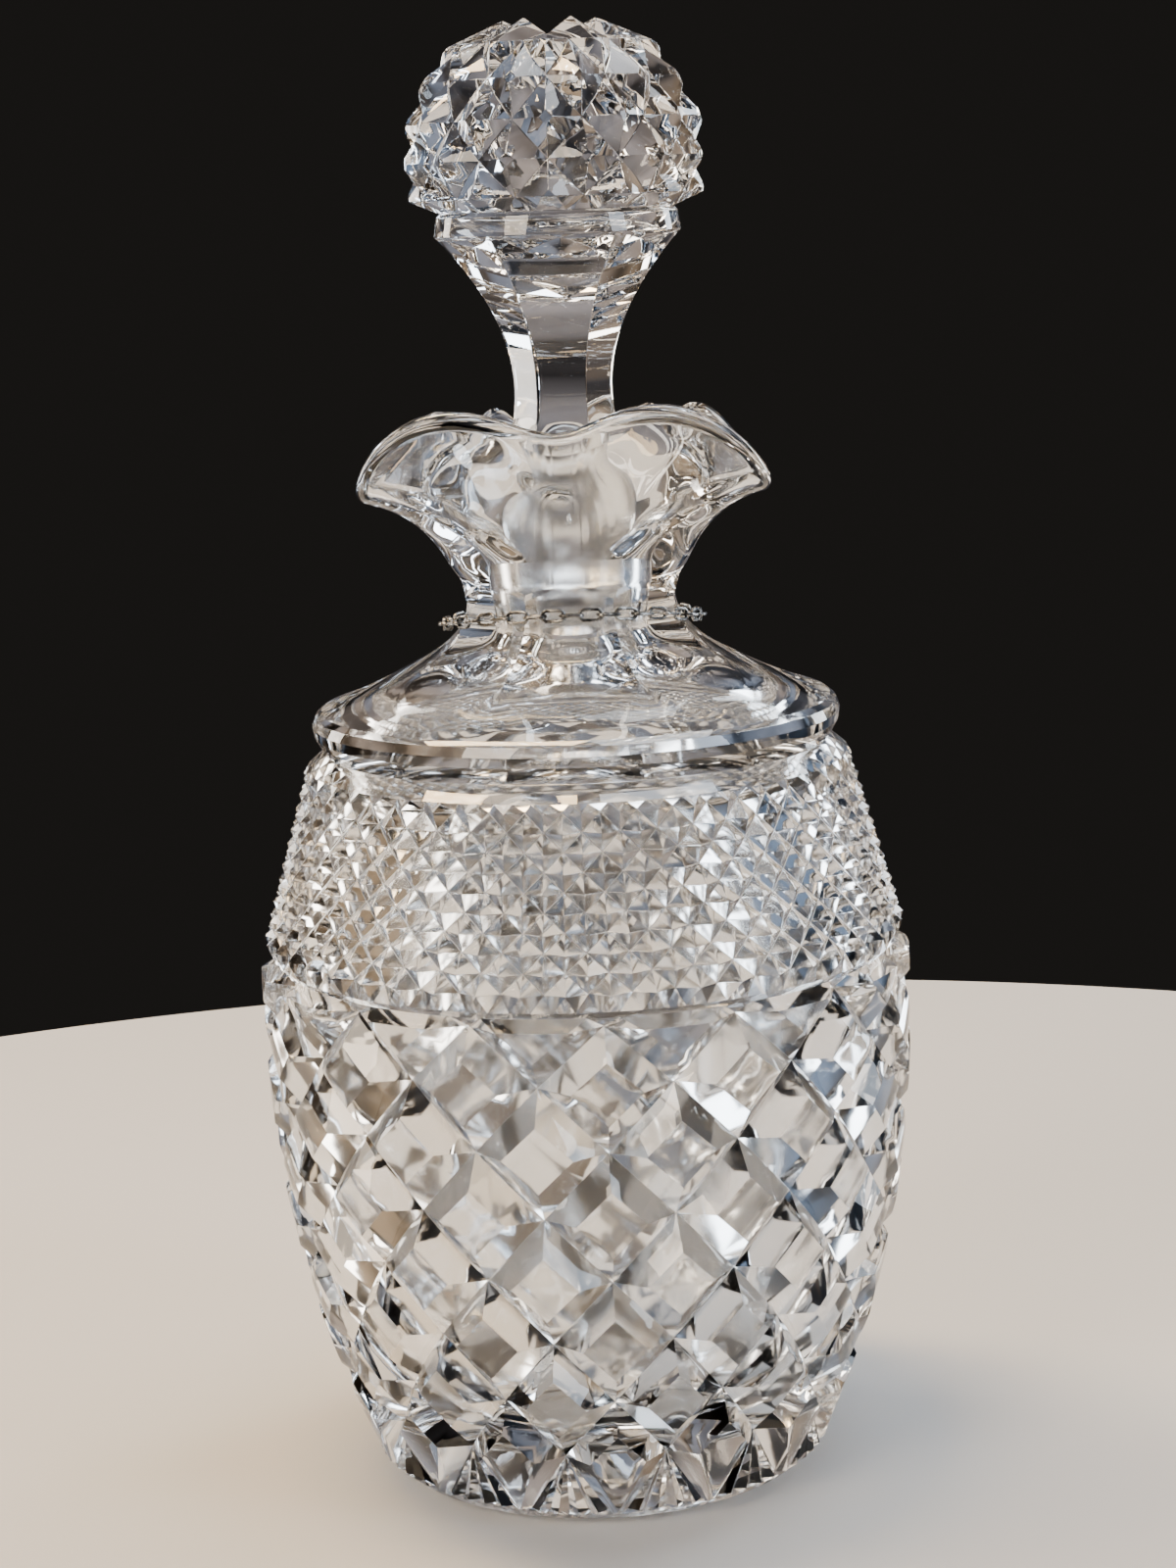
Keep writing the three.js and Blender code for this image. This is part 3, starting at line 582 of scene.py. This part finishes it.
def decanter_body():
    shell = Shell()
    diamonds = cut_diamonds(
        shell, DIAMOND_COUNT, DIAMOND_PHASE, DIAMOND_HEIGHTS, belly_radius,
        DIAMOND_DEPTH, DIAMOND_TABLE, DIAMOND_TABLE_STEPS,
    )
    band_heights = [mix(BAND_BOTTOM, BAND_TOP, k / (BAND_ROWS - 1)) for k in range(BAND_ROWS)]
    shell.slot = FINE_GLASS
    band = cut_diamonds(
        shell, BAND_COUNT, BAND_PHASE, band_heights, band_radius, BAND_DEPTH, table=0, steps=0,
    )
    rays = ray_ring(shell)
    shell.strips([*star_foot(shell), rays])
    ray_fans(shell, rays, diamonds[0])
    shell.slot = CUT_GLASS
    shell.strips([
        diamonds[1],
        shell.ring(COLUMNS, STEP_RADIUS, STEP_HEIGHT),
        shell.ring(COLUMNS, STEP_RADIUS + STEP_BEVEL, STEP_HEIGHT + STEP_BEVEL),
        band[0],
    ])
    shoulder = shoulder_loops(shell)
    lip, mouth = lip_loops(shell)
    shoulder_rim = [
        shell.ring(COLUMNS, SHOULDER_RIM_RADIUS - inset, SHOULDER_RIM_HEIGHT + rise)
        for inset, rise in SHOULDER_RIM_EDGE
    ]
    shell.strips([
        band[1],
        shell.ring(COLUMNS, STRIP_TOP_RADIUS, BAND_TOP + STRIP_RISE),
        shell.ring(COLUMNS, NOTCH_RADIUS, NOTCH_HEIGHT),
        *shoulder_rim,
        *shoulder,
        *lip,
    ])
    bore, upper, lower = cavity_loops(shell)
    shell.slot = BLOWN_GLASS
    shell.strips([lip[-1], *mouth, bore[0]])
    shell.slot = GROUND_GLASS
    shell.strips(bore)
    shell.slot = FINE_GLASS
    shell.strips([bore[-1], *upper])
    shell.slot = CAVITY_GLASS
    shell.strips([upper[-1], *lower])
    for azimuth, *place_and_size in SEEDS:
        add_seed(shell, azimuth * DEGREE, *place_and_size)
    return shell


# ---------------------------------------------------------------- stopper

STOPPER_GLASS = 0
PLUG_GLASS = 1


def panel_loop(shell, corner_radius, height, flatness):
    """A section of the stem. flatness is 0 for a round section and 1 for flat panels."""
    half = FULL_TURN / PANEL_COUNT / 2

    def place(azimuth, column):
        aside = (azimuth - PANEL_PHASE + half) % (2 * half) - half
        flat = math.cos(half) / math.cos(aside)
        return corner_radius * mix(1, flat, flatness), height

    return shell.loop(STOPPER_COLUMNS, PANEL_PHASE - half, place)


def stopper_body():
    shell = Shell()
    head = cut_diamonds(
        shell, HEAD_COUNT, PANEL_PHASE + FULL_TURN / HEAD_COUNT / 2, HEAD_HEIGHTS, head_radius,
        HEAD_DEPTH, HEAD_TABLE, HEAD_TABLE_STEPS,
    )

    def ring(radius, height):
        return panel_loop(shell, radius, height, 0)

    stem_points = [bezier(STEM_SWEEP, k / STEM_STEPS)[0] for k in range(STEM_STEPS + 1)]
    stem = [panel_loop(shell, *point, 1) for point in stem_points]
    plug = [ring(plug_radius(z), z) for z in (PLUG_TAPER_START, PLUG_TAPER_END)]
    bead_height = mix(PLUG_TAPER_END, STEM_FOOT, STEM_BEAD_SHARE)
    shell.slot = PLUG_GLASS
    shell.strips(plug)
    shell.slot = STOPPER_GLASS
    shell.strips([
        [shell.point(0, 0, PLUG_BOTTOM)],
        *[ring(PLUG_RADIUS - inset, PLUG_BOTTOM + rise) for inset, rise in PLUG_END],
        plug[0],
    ])
    shell.strips([
        plug[1],
        panel_loop(shell, STEM_RADIUS + STEM_BEAD, bead_height, STEM_BEAD_FLATNESS),
        *stem,
        *[ring(COLLAR_RADIUS - inset, height) for inset, height in COLLAR_EDGE],
        head[0],
    ])

    def star_point(azimuth, column):
        if column % 2 == 0:
            return TIP_RADIUS + CROWN_GROOVE_REACH, TIP_HEIGHT - CROWN_GROOVE_DROP
        return TIP_RADIUS, TIP_HEIGHT

    star = shell.loop(HEAD_COUNT, PANEL_PHASE, star_point)
    shell.strips([head[1], star, [shell.point(0, 0, TIP_HEIGHT - CROWN_CENTRE_DROP)]])
    return shell


# ---------------------------------------------------------------- making pieces

def new_piece(name, mesh, materials, body, nodes):
    """Puts a mesh in the scene on a body, in place of the CAD nodes that it stands for."""
    piece = bpy.data.objects.new(name, mesh)
    bpy.context.scene.collection.objects.link(piece)
    for material in materials:
        mesh.materials.append(material)
    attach(piece, body)
    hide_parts(*nodes)
    return piece


def in_groove(place):
    """True at the bottom of a groove of the fine band or of the belly. Only rounded cut edges are
    tested, so the smooth wall of the cavity, which lies deeper still, is never asked about."""
    radius = math.hypot(place.x, place.y)
    if BAND_BOTTOM < place.z < BAND_TOP:
        return band_radius(place.z) - radius > BAND_GROOVE_SHARE * BAND_DEPTH
    if DIAMOND_HEIGHTS[0] < place.z < DIAMOND_HEIGHTS[-1]:
        return belly_radius(place.z) - radius > BELLY_GROOVE_SHARE * DIAMOND_DEPTH
    return False


def polish_edges(mesh_points, width_at, groove_slot):
    """Rounds every cut edge a little, as acid polishing does. width_at(z) is in millimetres. The
    bottoms of grooves keep a slightly frosted line, in the material groove_slot if it is given."""
    cuts = {}
    for edge in mesh_points.edges:
        if len(edge.link_faces) == 2 and edge.calc_face_angle(0) > CUT_ANGLE:
            width = width_at((edge.verts[0].co.z + edge.verts[1].co.z) / 2)
            cuts.setdefault(width, []).append(edge)
    for width, edges in sorted(cuts.items()):
        edges = [edge for edge in edges if edge.is_valid]
        rounded = bmesh.ops.bevel(
            mesh_points, geom=edges, offset=width, offset_type="OFFSET", segments=2,
            profile=0.5, affect="EDGES", clamp_overlap=True,
        )
        for face in rounded["faces"]:
            centre = face.calc_center_median()
            if groove_slot is not None and in_groove(centre):
                face.material_index = groove_slot


def mark_sharp(mesh_points):
    for face in mesh_points.faces:
        face.smooth = True
    for edge in mesh_points.edges:
        if len(edge.link_faces) == 2:
            edge.smooth = edge.calc_face_angle(0) < SHARP_ANGLE


def finished_mesh(name, mesh_points):
    mesh = bpy.data.meshes.new(name)
    mesh_points.to_mesh(mesh)
    mesh_points.free()
    return mesh


def join_sections(mesh_points, sections):
    """Joins a closed run of equal sections into a smooth tube."""
    sides = len(sections[0])
    for section, following in zip(sections, sections[1:] + sections[:1]):
        for k in range(sides):
            after = (k + 1) % sides
            corners = [section[k], following[k], following[after], section[after]]
            mesh_points.faces.new(corners).smooth = True


def shell_mesh(name, shell, width_at, groove_slot=None):
    mesh_points = bmesh.new()
    corners = [mesh_points.verts.new(point) for point in shell.points]
    for indices, slot in zip(shell.faces, shell.slots):
        face = mesh_points.faces.new([corners[index] for index in indices])
        face.material_index = slot
    bmesh.ops.remove_doubles(mesh_points, verts=mesh_points.verts, dist=MERGE_DISTANCE)
    loose = [vert for vert in mesh_points.verts if not vert.link_faces]
    bmesh.ops.delete(mesh_points, geom=loose, context="VERTS")
    polish_edges(mesh_points, width_at, groove_slot)
    mark_sharp(mesh_points)
    bmesh.ops.scale(mesh_points, vec=(MM, MM, MM), verts=mesh_points.verts)
    return finished_mesh(name, mesh_points)


# ---------------------------------------------------------------- materials

def new_material(name):
    material = bpy.data.materials.new(name)
    material.use_nodes = True
    tree = material.node_tree
    return material, tree, tree.nodes["Principled BSDF"]


def noise(tree, scale, detail=2.0):
    place = tree.nodes.new("ShaderNodeTexCoord")
    texture = tree.nodes.new("ShaderNodeTexNoise")
    texture.inputs["Scale"].default_value = scale
    texture.inputs["Detail"].default_value = detail
    tree.links.new(place.outputs["Object"], texture.inputs["Vector"])
    return texture.outputs["Fac"]


def map_range(tree, value, low, high):
    node = tree.nodes.new("ShaderNodeMapRange")
    node.inputs["From Min"].default_value = 0.3
    node.inputs["From Max"].default_value = 0.7
    node.inputs["To Min"].default_value = low
    node.inputs["To Max"].default_value = high
    tree.links.new(value, node.inputs["Value"])
    return node.outputs["Result"]


def bump(tree, height, strength, distance, normal=None):
    node = tree.nodes.new("ShaderNodeBump")
    node.inputs["Strength"].default_value = strength
    node.inputs["Distance"].default_value = distance
    tree.links.new(height, node.inputs["Height"])
    if normal is not None:
        tree.links.new(normal, node.inputs["Normal"])
    return node.outputs["Normal"]


def crystal(name, waviness, wheel_marks, frost):
    """Clear lead crystal. waviness is the slow unevenness of blown glass, wheel_marks the faint
    lines that polishing leaves on cut faces, and frost how far from clear the surface is."""
    material, tree, shader = new_material(name)
    shader.inputs["Base Color"].default_value = (0.975, 0.985, 0.99, 1)
    shader.inputs["Transmission Weight"].default_value = 1
    shader.inputs["IOR"].default_value = 1.545
    roughness = map_range(tree, noise(tree, 90), frost * 0.7, frost * 1.3 + 0.015)
    tree.links.new(roughness, shader.inputs["Roughness"])
    slow = bump(tree, noise(tree, 45), waviness, 0.0006)
    fine = bump(tree, noise(tree, 900, 3), wheel_marks, 0.00003, slow)
    tree.links.new(fine, shader.inputs["Normal"])
    return material


def silver(name, bright, tarnish, rough, smooth):
    """Worn silver plate: bright where it rubs and rougher in patches, with painted shade in its
    hollows and where pieces touch, from ambient occlusion darkening its colour.
    """
    material, tree, shader = new_material(name)
    shader.inputs["Metallic"].default_value = 1
    patches = noise(tree, 700, 3)
    ramp = tree.nodes.new("ShaderNodeValToRGB")
    ramp.color_ramp.elements[0].position = 0.35
    ramp.color_ramp.elements[0].color = (tarnish, tarnish * 0.93, tarnish * 0.83, 1)
    ramp.color_ramp.elements[1].position = 0.6
    ramp.color_ramp.elements[1].color = (bright, bright * 0.97, bright * 0.92, 1)
    tree.links.new(patches, ramp.inputs["Fac"])
    # Painted shade: ambient occlusion darkens the colour in hollows and where links and plates lie
    # close together.
    occlusion_painted_shade = tree.nodes.new("ShaderNodeAmbientOcclusion")
    occlusion_painted_shade.inputs["Distance"].default_value = 0.0009
    tree.links.new(ramp.outputs["Color"], occlusion_painted_shade.inputs["Color"])
    tree.links.new(occlusion_painted_shade.outputs["Color"], shader.inputs["Base Color"])
    tree.links.new(map_range(tree, patches, rough, smooth), shader.inputs["Roughness"])
    tree.links.new(bump(tree, noise(tree, 2500, 2), 0.3, 0.00002), shader.inputs["Normal"])
    return material


def plain(name, colour, roughness):
    material, _, shader = new_material(name)
    shader.inputs["Base Color"].default_value = (*colour, 1)
    shader.inputs["Roughness"].default_value = roughness
    return material


# ---------------------------------------------------------------- chain and rings

def node_axes(node):
    """The centre of a CAD node, its longest and its second axis, and its points."""
    points = np.array([vert.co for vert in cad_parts[node].data.vertices])
    centre = points.mean(0)
    axes = np.linalg.eigh(np.cov((points - centre).T))[1]
    return centre, axes[:, 2], axes[:, 1], points


def wire_mesh(name, node, wire):
    """A closed oval of round wire where a CAD link or ring lies, with its length and width."""
    centre, along, across, points = node_axes(node)
    up = np.cross(along, across)
    half_length = np.abs((points - centre) @ along).max()
    half_width = np.abs((points - centre) @ across).max()
    bend = half_width - wire / 2
    straight = half_length - half_width
    mesh_points = bmesh.new()
    sections = []
    for step in range(WIRE_STEPS):
        turn = (step + 0.5) / WIRE_STEPS * FULL_TURN
        outward = along * math.cos(turn) + across * math.sin(turn)
        middle = centre + outward * bend + along * math.copysign(straight, math.cos(turn))
        section = []
        for k in range(WIRE_SIDES):
            spin = k / WIRE_SIDES * FULL_TURN
            offset = outward * math.cos(spin) + up * math.sin(spin)
            section.append(mesh_points.verts.new(middle + offset * wire / 2))
        sections.append(section)
    join_sections(mesh_points, sections)
    return finished_mesh(name, mesh_points)


def add_chain(material):
    for node in sorted(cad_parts):
        if node.startswith("chain_link_"):
            name = node.replace("chain_link", "silver_link")
            mesh = wire_mesh(name, node, LINK_WIRE * MM)
            new_piece(name, mesh, [material], "chain", [node])
    for side in ("left", "right"):
        name = "silver_ring_" + side
        mesh = wire_mesh(name, "jump_ring_" + side, RING_WIRE * MM)
        new_piece(name, mesh, [material], "label", ["jump_ring_" + side])


# ---------------------------------------------------------------- label

# Down the plate from its top edge, as (distance from the hinge line, share of the half width)
LABEL_ROWS = [
    (0.7, 0.94), (1.4, 1), (3.2, 1), (7.5, 0.99), (12, 0.93), (16, 0.8), (19, 0.6), (20.4, 0.35),
]
LABEL_OUTLINE_STEPS = 40
LABEL_HOLE_DROP = 2.3
LABEL_HOLE_RADIUS = 0.9
LABEL_HOLE_SIDES = 32
LABEL_EDGE = 0.12
BORDER_INSET = 1.3
BORDER_RADIUS = 0.22
BORDER_SIDES = 12


def label_outline(inset):
    """The plate's edge as (across, down), moved inwards by inset. Its top and its bottom are one
    straight stretch each."""
    shares = [k / LABEL_OUTLINE_STEPS for k in range(LABEL_OUTLINE_STEPS + 1)]
    rows = [catmull_rom(LABEL_ROWS, share) for share in shares]
    right = [(share * LABEL_HALF_WIDTH, down) for down, share in rows]
    closed = [(-x, down) for x, down in reversed(right)] + right
    middle = np.array([0, (rows[0][0] + rows[-1][0]) / 2])
    half = np.array([LABEL_HALF_WIDTH, (rows[-1][0] - rows[0][0]) / 2])
    return [tuple(middle + (np.array(point) - middle) * (1 - inset / half)) for point in closed]


def label_place(x, down, lift):
    """A point of the flat plate, bent across its width and laid on the shoulder's slope."""
    crown = (HINGE_SPREAD ** 2 - x ** 2) / (2 * LABEL_BEND_RADIUS)
    height = crown + lift
    return (
        x,
        HINGE_Y + down * math.cos(LABEL_SLOPE) + height * math.sin(LABEL_SLOPE),
        HINGE_Z - down * math.sin(LABEL_SLOPE) + height * math.cos(LABEL_SLOPE),
    )


def bent_to_label(mesh_points):
    for vert in mesh_points.verts:
        vert.co = label_place(*vert.co)
    bmesh.ops.scale(mesh_points, vec=(MM, MM, MM), verts=mesh_points.verts)


def outline_edges(mesh_points, outline):
    corners = [mesh_points.verts.new((x, down, 0)) for x, down in outline]
    return [mesh_points.edges.new(pair) for pair in zip(corners, corners[1:] + corners[:1])]


def label_plate():
    """A thin plate with two ring holes and rounded edges."""
    mesh_points = bmesh.new()
    edges = outline_edges(mesh_points, label_outline(0))
    for side in (-1, 1):
        turns = [FULL_TURN * k / LABEL_HOLE_SIDES for k in range(LABEL_HOLE_SIDES)]
        hole = [
            (
                side * HINGE_SPREAD + LABEL_HOLE_RADIUS * math.cos(turn),
                LABEL_HOLE_DROP + LABEL_HOLE_RADIUS * math.sin(turn),
            )
            for turn in turns
        ]
        edges += outline_edges(mesh_points, hole)
    bmesh.ops.triangle_fill(mesh_points, use_beauty=True, use_dissolve=False, edges=edges)
    for across in range(1 - LABEL_HALF_WIDTH, LABEL_HALF_WIDTH):
        everything = mesh_points.verts[:] + mesh_points.edges[:] + mesh_points.faces[:]
        bmesh.ops.bisect_plane(
            mesh_points, geom=everything, dist=1e-4, plane_co=(across, 0, 0), plane_no=(1, 0, 0)
        )
    grown = bmesh.ops.extrude_face_region(mesh_points, geom=mesh_points.faces[:])
    raised = [item for item in grown["geom"] if isinstance(item, bmesh.types.BMVert)]
    bmesh.ops.translate(mesh_points, vec=(0, 0, LABEL_THICKNESS), verts=raised)
    middle = (0, 0, -LABEL_THICKNESS / 2)
    bmesh.ops.translate(mesh_points, vec=middle, verts=mesh_points.verts)
    corners = [edge for edge in mesh_points.edges if edge.calc_face_angle(0) > 60 * DEGREE]
    bmesh.ops.bevel(
        mesh_points, geom=corners, offset=LABEL_EDGE, offset_type="OFFSET", segments=3,
        profile=0.5, affect="EDGES", clamp_overlap=True,
    )
    bent_to_label(mesh_points)
    bmesh.ops.recalc_face_normals(mesh_points, faces=mesh_points.faces)
    mark_sharp(mesh_points)
    return finished_mesh("silver_label", mesh_points)


def label_border():
    """A bead a little inside the plate's edge, raised on the sides and round the lower corners. The
    straight stretches don't follow the plate's bend: the lower one sinks until it is nearly flush,
    and the upper one passes through the ring holes and behind the plate."""
    outline = [np.array(point) for point in label_outline(BORDER_INSET)]
    mesh_points = bmesh.new()
    sections = []
    for before, here, after in zip(outline[-1:] + outline[:-1], outline, outline[1:] + outline[:1]):
        along = (after - before) / np.linalg.norm(after - before)
        section = []
        for k in range(BORDER_SIDES):
            spin = FULL_TURN * k / BORDER_SIDES
            aside = BORDER_RADIUS * math.cos(spin)
            lift = LABEL_THICKNESS / 2 + BORDER_RADIUS * math.sin(spin)
            place = (here[0] + along[1] * aside, here[1] - along[0] * aside, lift)
            section.append(mesh_points.verts.new(place))
        sections.append(section)
    join_sections(mesh_points, sections)
    bent_to_label(mesh_points)
    bmesh.ops.recalc_face_normals(mesh_points, faces=mesh_points.faces)
    return finished_mesh("silver_label_border", mesh_points)


def add_label(material):
    new_piece("silver_label", label_plate(), [material], "label", ["neck_label"])
    border = label_border()
    new_piece("silver_label_border", border, [material], "label", ["neck_label"])


# ---------------------------------------------------------------- stage

def disc_floor(radius, centre, thickness, material):
    mesh_points = bmesh.new()
    bmesh.ops.create_cone(
        mesh_points, cap_ends=True, segments=256, radius1=radius, radius2=radius, depth=thickness
    )
    bmesh.ops.translate(mesh_points, vec=(*centre, -thickness / 2), verts=mesh_points.verts)
    mesh = finished_mesh("floor", mesh_points)
    mesh.materials.append(material)
    floor = bpy.data.objects.new("floor", mesh)
    bpy.context.scene.collection.objects.link(floor)


def softbox(name, place, target, width, height, power, colour):
    light = bpy.data.lights.new(name, "AREA")
    light.shape = "RECTANGLE"
    light.size = width
    light.size_y = height
    light.energy = power
    light.color = colour
    lamp = bpy.data.objects.new(name, light)
    lamp.location = place
    lamp.rotation_euler = (Vector(target) - Vector(place)).to_track_quat("-Z", "Y").to_euler()
    lamp.visible_camera = False
    bpy.context.scene.collection.objects.link(lamp)


def add_lights():
    middle = (0, 0, 0.13)
    softbox("key_softbox", (-0.75, -0.9, 0.85), middle, 0.5, 0.7, 14, (1.0, 0.85, 0.68))
    softbox("fill_softbox", (0.95, -0.55, 0.5), middle, 0.3, 0.8, 7, (0.76, 0.87, 1.0))
    softbox("rim_left", (-0.75, 0.55, 0.35), middle, 0.2, 0.8, 6, (1.0, 0.92, 0.82))
    softbox("rim_right", (0.75, 0.6, 0.35), middle, 0.2, 0.8, 6, (0.84, 0.92, 1.0))
    softbox("warm_lamp", (-0.26, 0.1, 1.03), middle, 0.18, 0.62, 18, (1.0, 0.70, 0.38))
    softbox("top_softbox", (0.28, 0.1, 1.1), middle, 0.5, 0.5, 7, (0.9, 0.95, 1.0))


def add_world():
    """A dark studio with broad soft patches of dim light on its walls, warm on the left and cool
    on the right. The camera itself sees it plain and dark."""
    world = bpy.data.worlds.new("studio")
    world.use_nodes = True
    tree = world.node_tree
    background = tree.nodes["Background"]
    place = tree.nodes.new("ShaderNodeTexCoord")
    patches = tree.nodes.new("ShaderNodeTexNoise")
    patches.inputs["Scale"].default_value = 2.2
    patches.inputs["Detail"].default_value = 1
    tree.links.new(place.outputs["Generated"], patches.inputs["Vector"])
    ramp = tree.nodes.new("ShaderNodeValToRGB")
    ramp.color_ramp.elements[0].position = 0.42
    ramp.color_ramp.elements[0].color = (0.07, 0.07, 0.07, 1)
    ramp.color_ramp.elements[1].position = 0.62
    ramp.color_ramp.elements[1].color = (1, 1, 1, 1)
    tree.links.new(patches.outputs["Fac"], ramp.inputs["Fac"])
    sides = tree.nodes.new("ShaderNodeSeparateXYZ")
    tree.links.new(place.outputs["Generated"], sides.inputs["Vector"])
    rightness = tree.nodes.new("ShaderNodeMapRange")
    rightness.inputs["From Min"].default_value = -0.7
    rightness.inputs["From Max"].default_value = 0.7
    tree.links.new(sides.outputs["X"], rightness.inputs["Value"])
    tint = tree.nodes.new("ShaderNodeMix")
    tint.data_type = "RGBA"
    tint.inputs["A"].default_value = (0.50, 0.34, 0.20, 1)
    tint.inputs["B"].default_value = (0.22, 0.31, 0.46, 1)
    tree.links.new(rightness.outputs["Result"], tint.inputs["Factor"])
    walls = tree.nodes.new("ShaderNodeMix")
    walls.data_type = "RGBA"
    walls.blend_type = "MULTIPLY"
    walls.inputs["Factor"].default_value = 1
    tree.links.new(ramp.outputs["Color"], walls.inputs["A"])
    tree.links.new(tint.outputs["Result"], walls.inputs["B"])
    path = tree.nodes.new("ShaderNodeLightPath")
    seen = tree.nodes.new("ShaderNodeMix")
    seen.data_type = "RGBA"
    seen.inputs["B"].default_value = (0.012, 0.011, 0.010, 1)
    tree.links.new(path.outputs["Is Camera Ray"], seen.inputs["Factor"])
    tree.links.new(walls.outputs["Result"], seen.inputs["A"])
    tree.links.new(seen.outputs["Result"], background.inputs["Color"])
    bpy.context.scene.world = world


def add_camera():
    """The photograph's view: from just above the stopper's foot, tilted down and rolled a little."""
    data = bpy.data.cameras.new("camera")
    data.lens = 72
    data.sensor_width = 36
    camera = bpy.data.objects.new("camera", data)
    camera.location = (0.0017, -0.569, 0.2322)
    pitch = Matrix.Rotation((90 - 10.4) * DEGREE, 4, "X")
    roll = Matrix.Rotation(-2.2 * DEGREE, 4, "Z")
    camera.rotation_euler = (pitch @ roll).to_euler()
    bpy.context.scene.collection.objects.link(camera)
    bpy.context.scene.camera = camera


# ---------------------------------------------------------------- the scene

def body_edge_width(z):
    in_band = BAND_BOTTOM - BAND_MARGIN < z < BAND_TOP + BAND_MARGIN
    return FINE_CUT_EDGE if in_band else BIG_CUT_EDGE


def main():
    body_glass = [
        crystal("crystal_cut", 0.02, 0.05, 0.005),
        crystal("crystal_blown", 0.04, 0.03, 0.0),
        crystal("crystal_cavity", 0.06, 0.03, 0.08),
        crystal("crystal_fine_cut", 0.02, 0.05, 0.05),
        crystal("crystal_groove", 0.02, 0.3, 0.3),
        crystal("crystal_ground", 0.02, 0.1, 0.17),
    ]
    stopper_glass = [
        crystal("crystal_stopper", 0.02, 0.05, 0.005),
        crystal("crystal_plug", 0.02, 0.1, 0.17),
    ]
    chain_metal = silver("silver_chain", 0.42, 0.03, 0.34, 0.2)
    label_metal = silver("silver_label", 0.56, 0.27, 0.34, 0.15)

    mesh = shell_mesh("decanter_glass", decanter_body(), body_edge_width, GROOVE_GLASS)
    new_piece("decanter_glass", mesh, body_glass, "decanter", ["decanter_body"])
    mesh = shell_mesh("stopper_glass", stopper_body(), lambda z: STOPPER_EDGE)
    new_piece("stopper_glass", mesh, stopper_glass, "stopper", ["stopper"])
    add_chain(chain_metal)
    add_label(label_metal)

    disc_floor(0.42, (0, -0.06), 0.02, plain("pale_floor", (0.52, 0.51, 0.50), 0.6))
    add_lights()
    add_world()
    add_camera()


main()
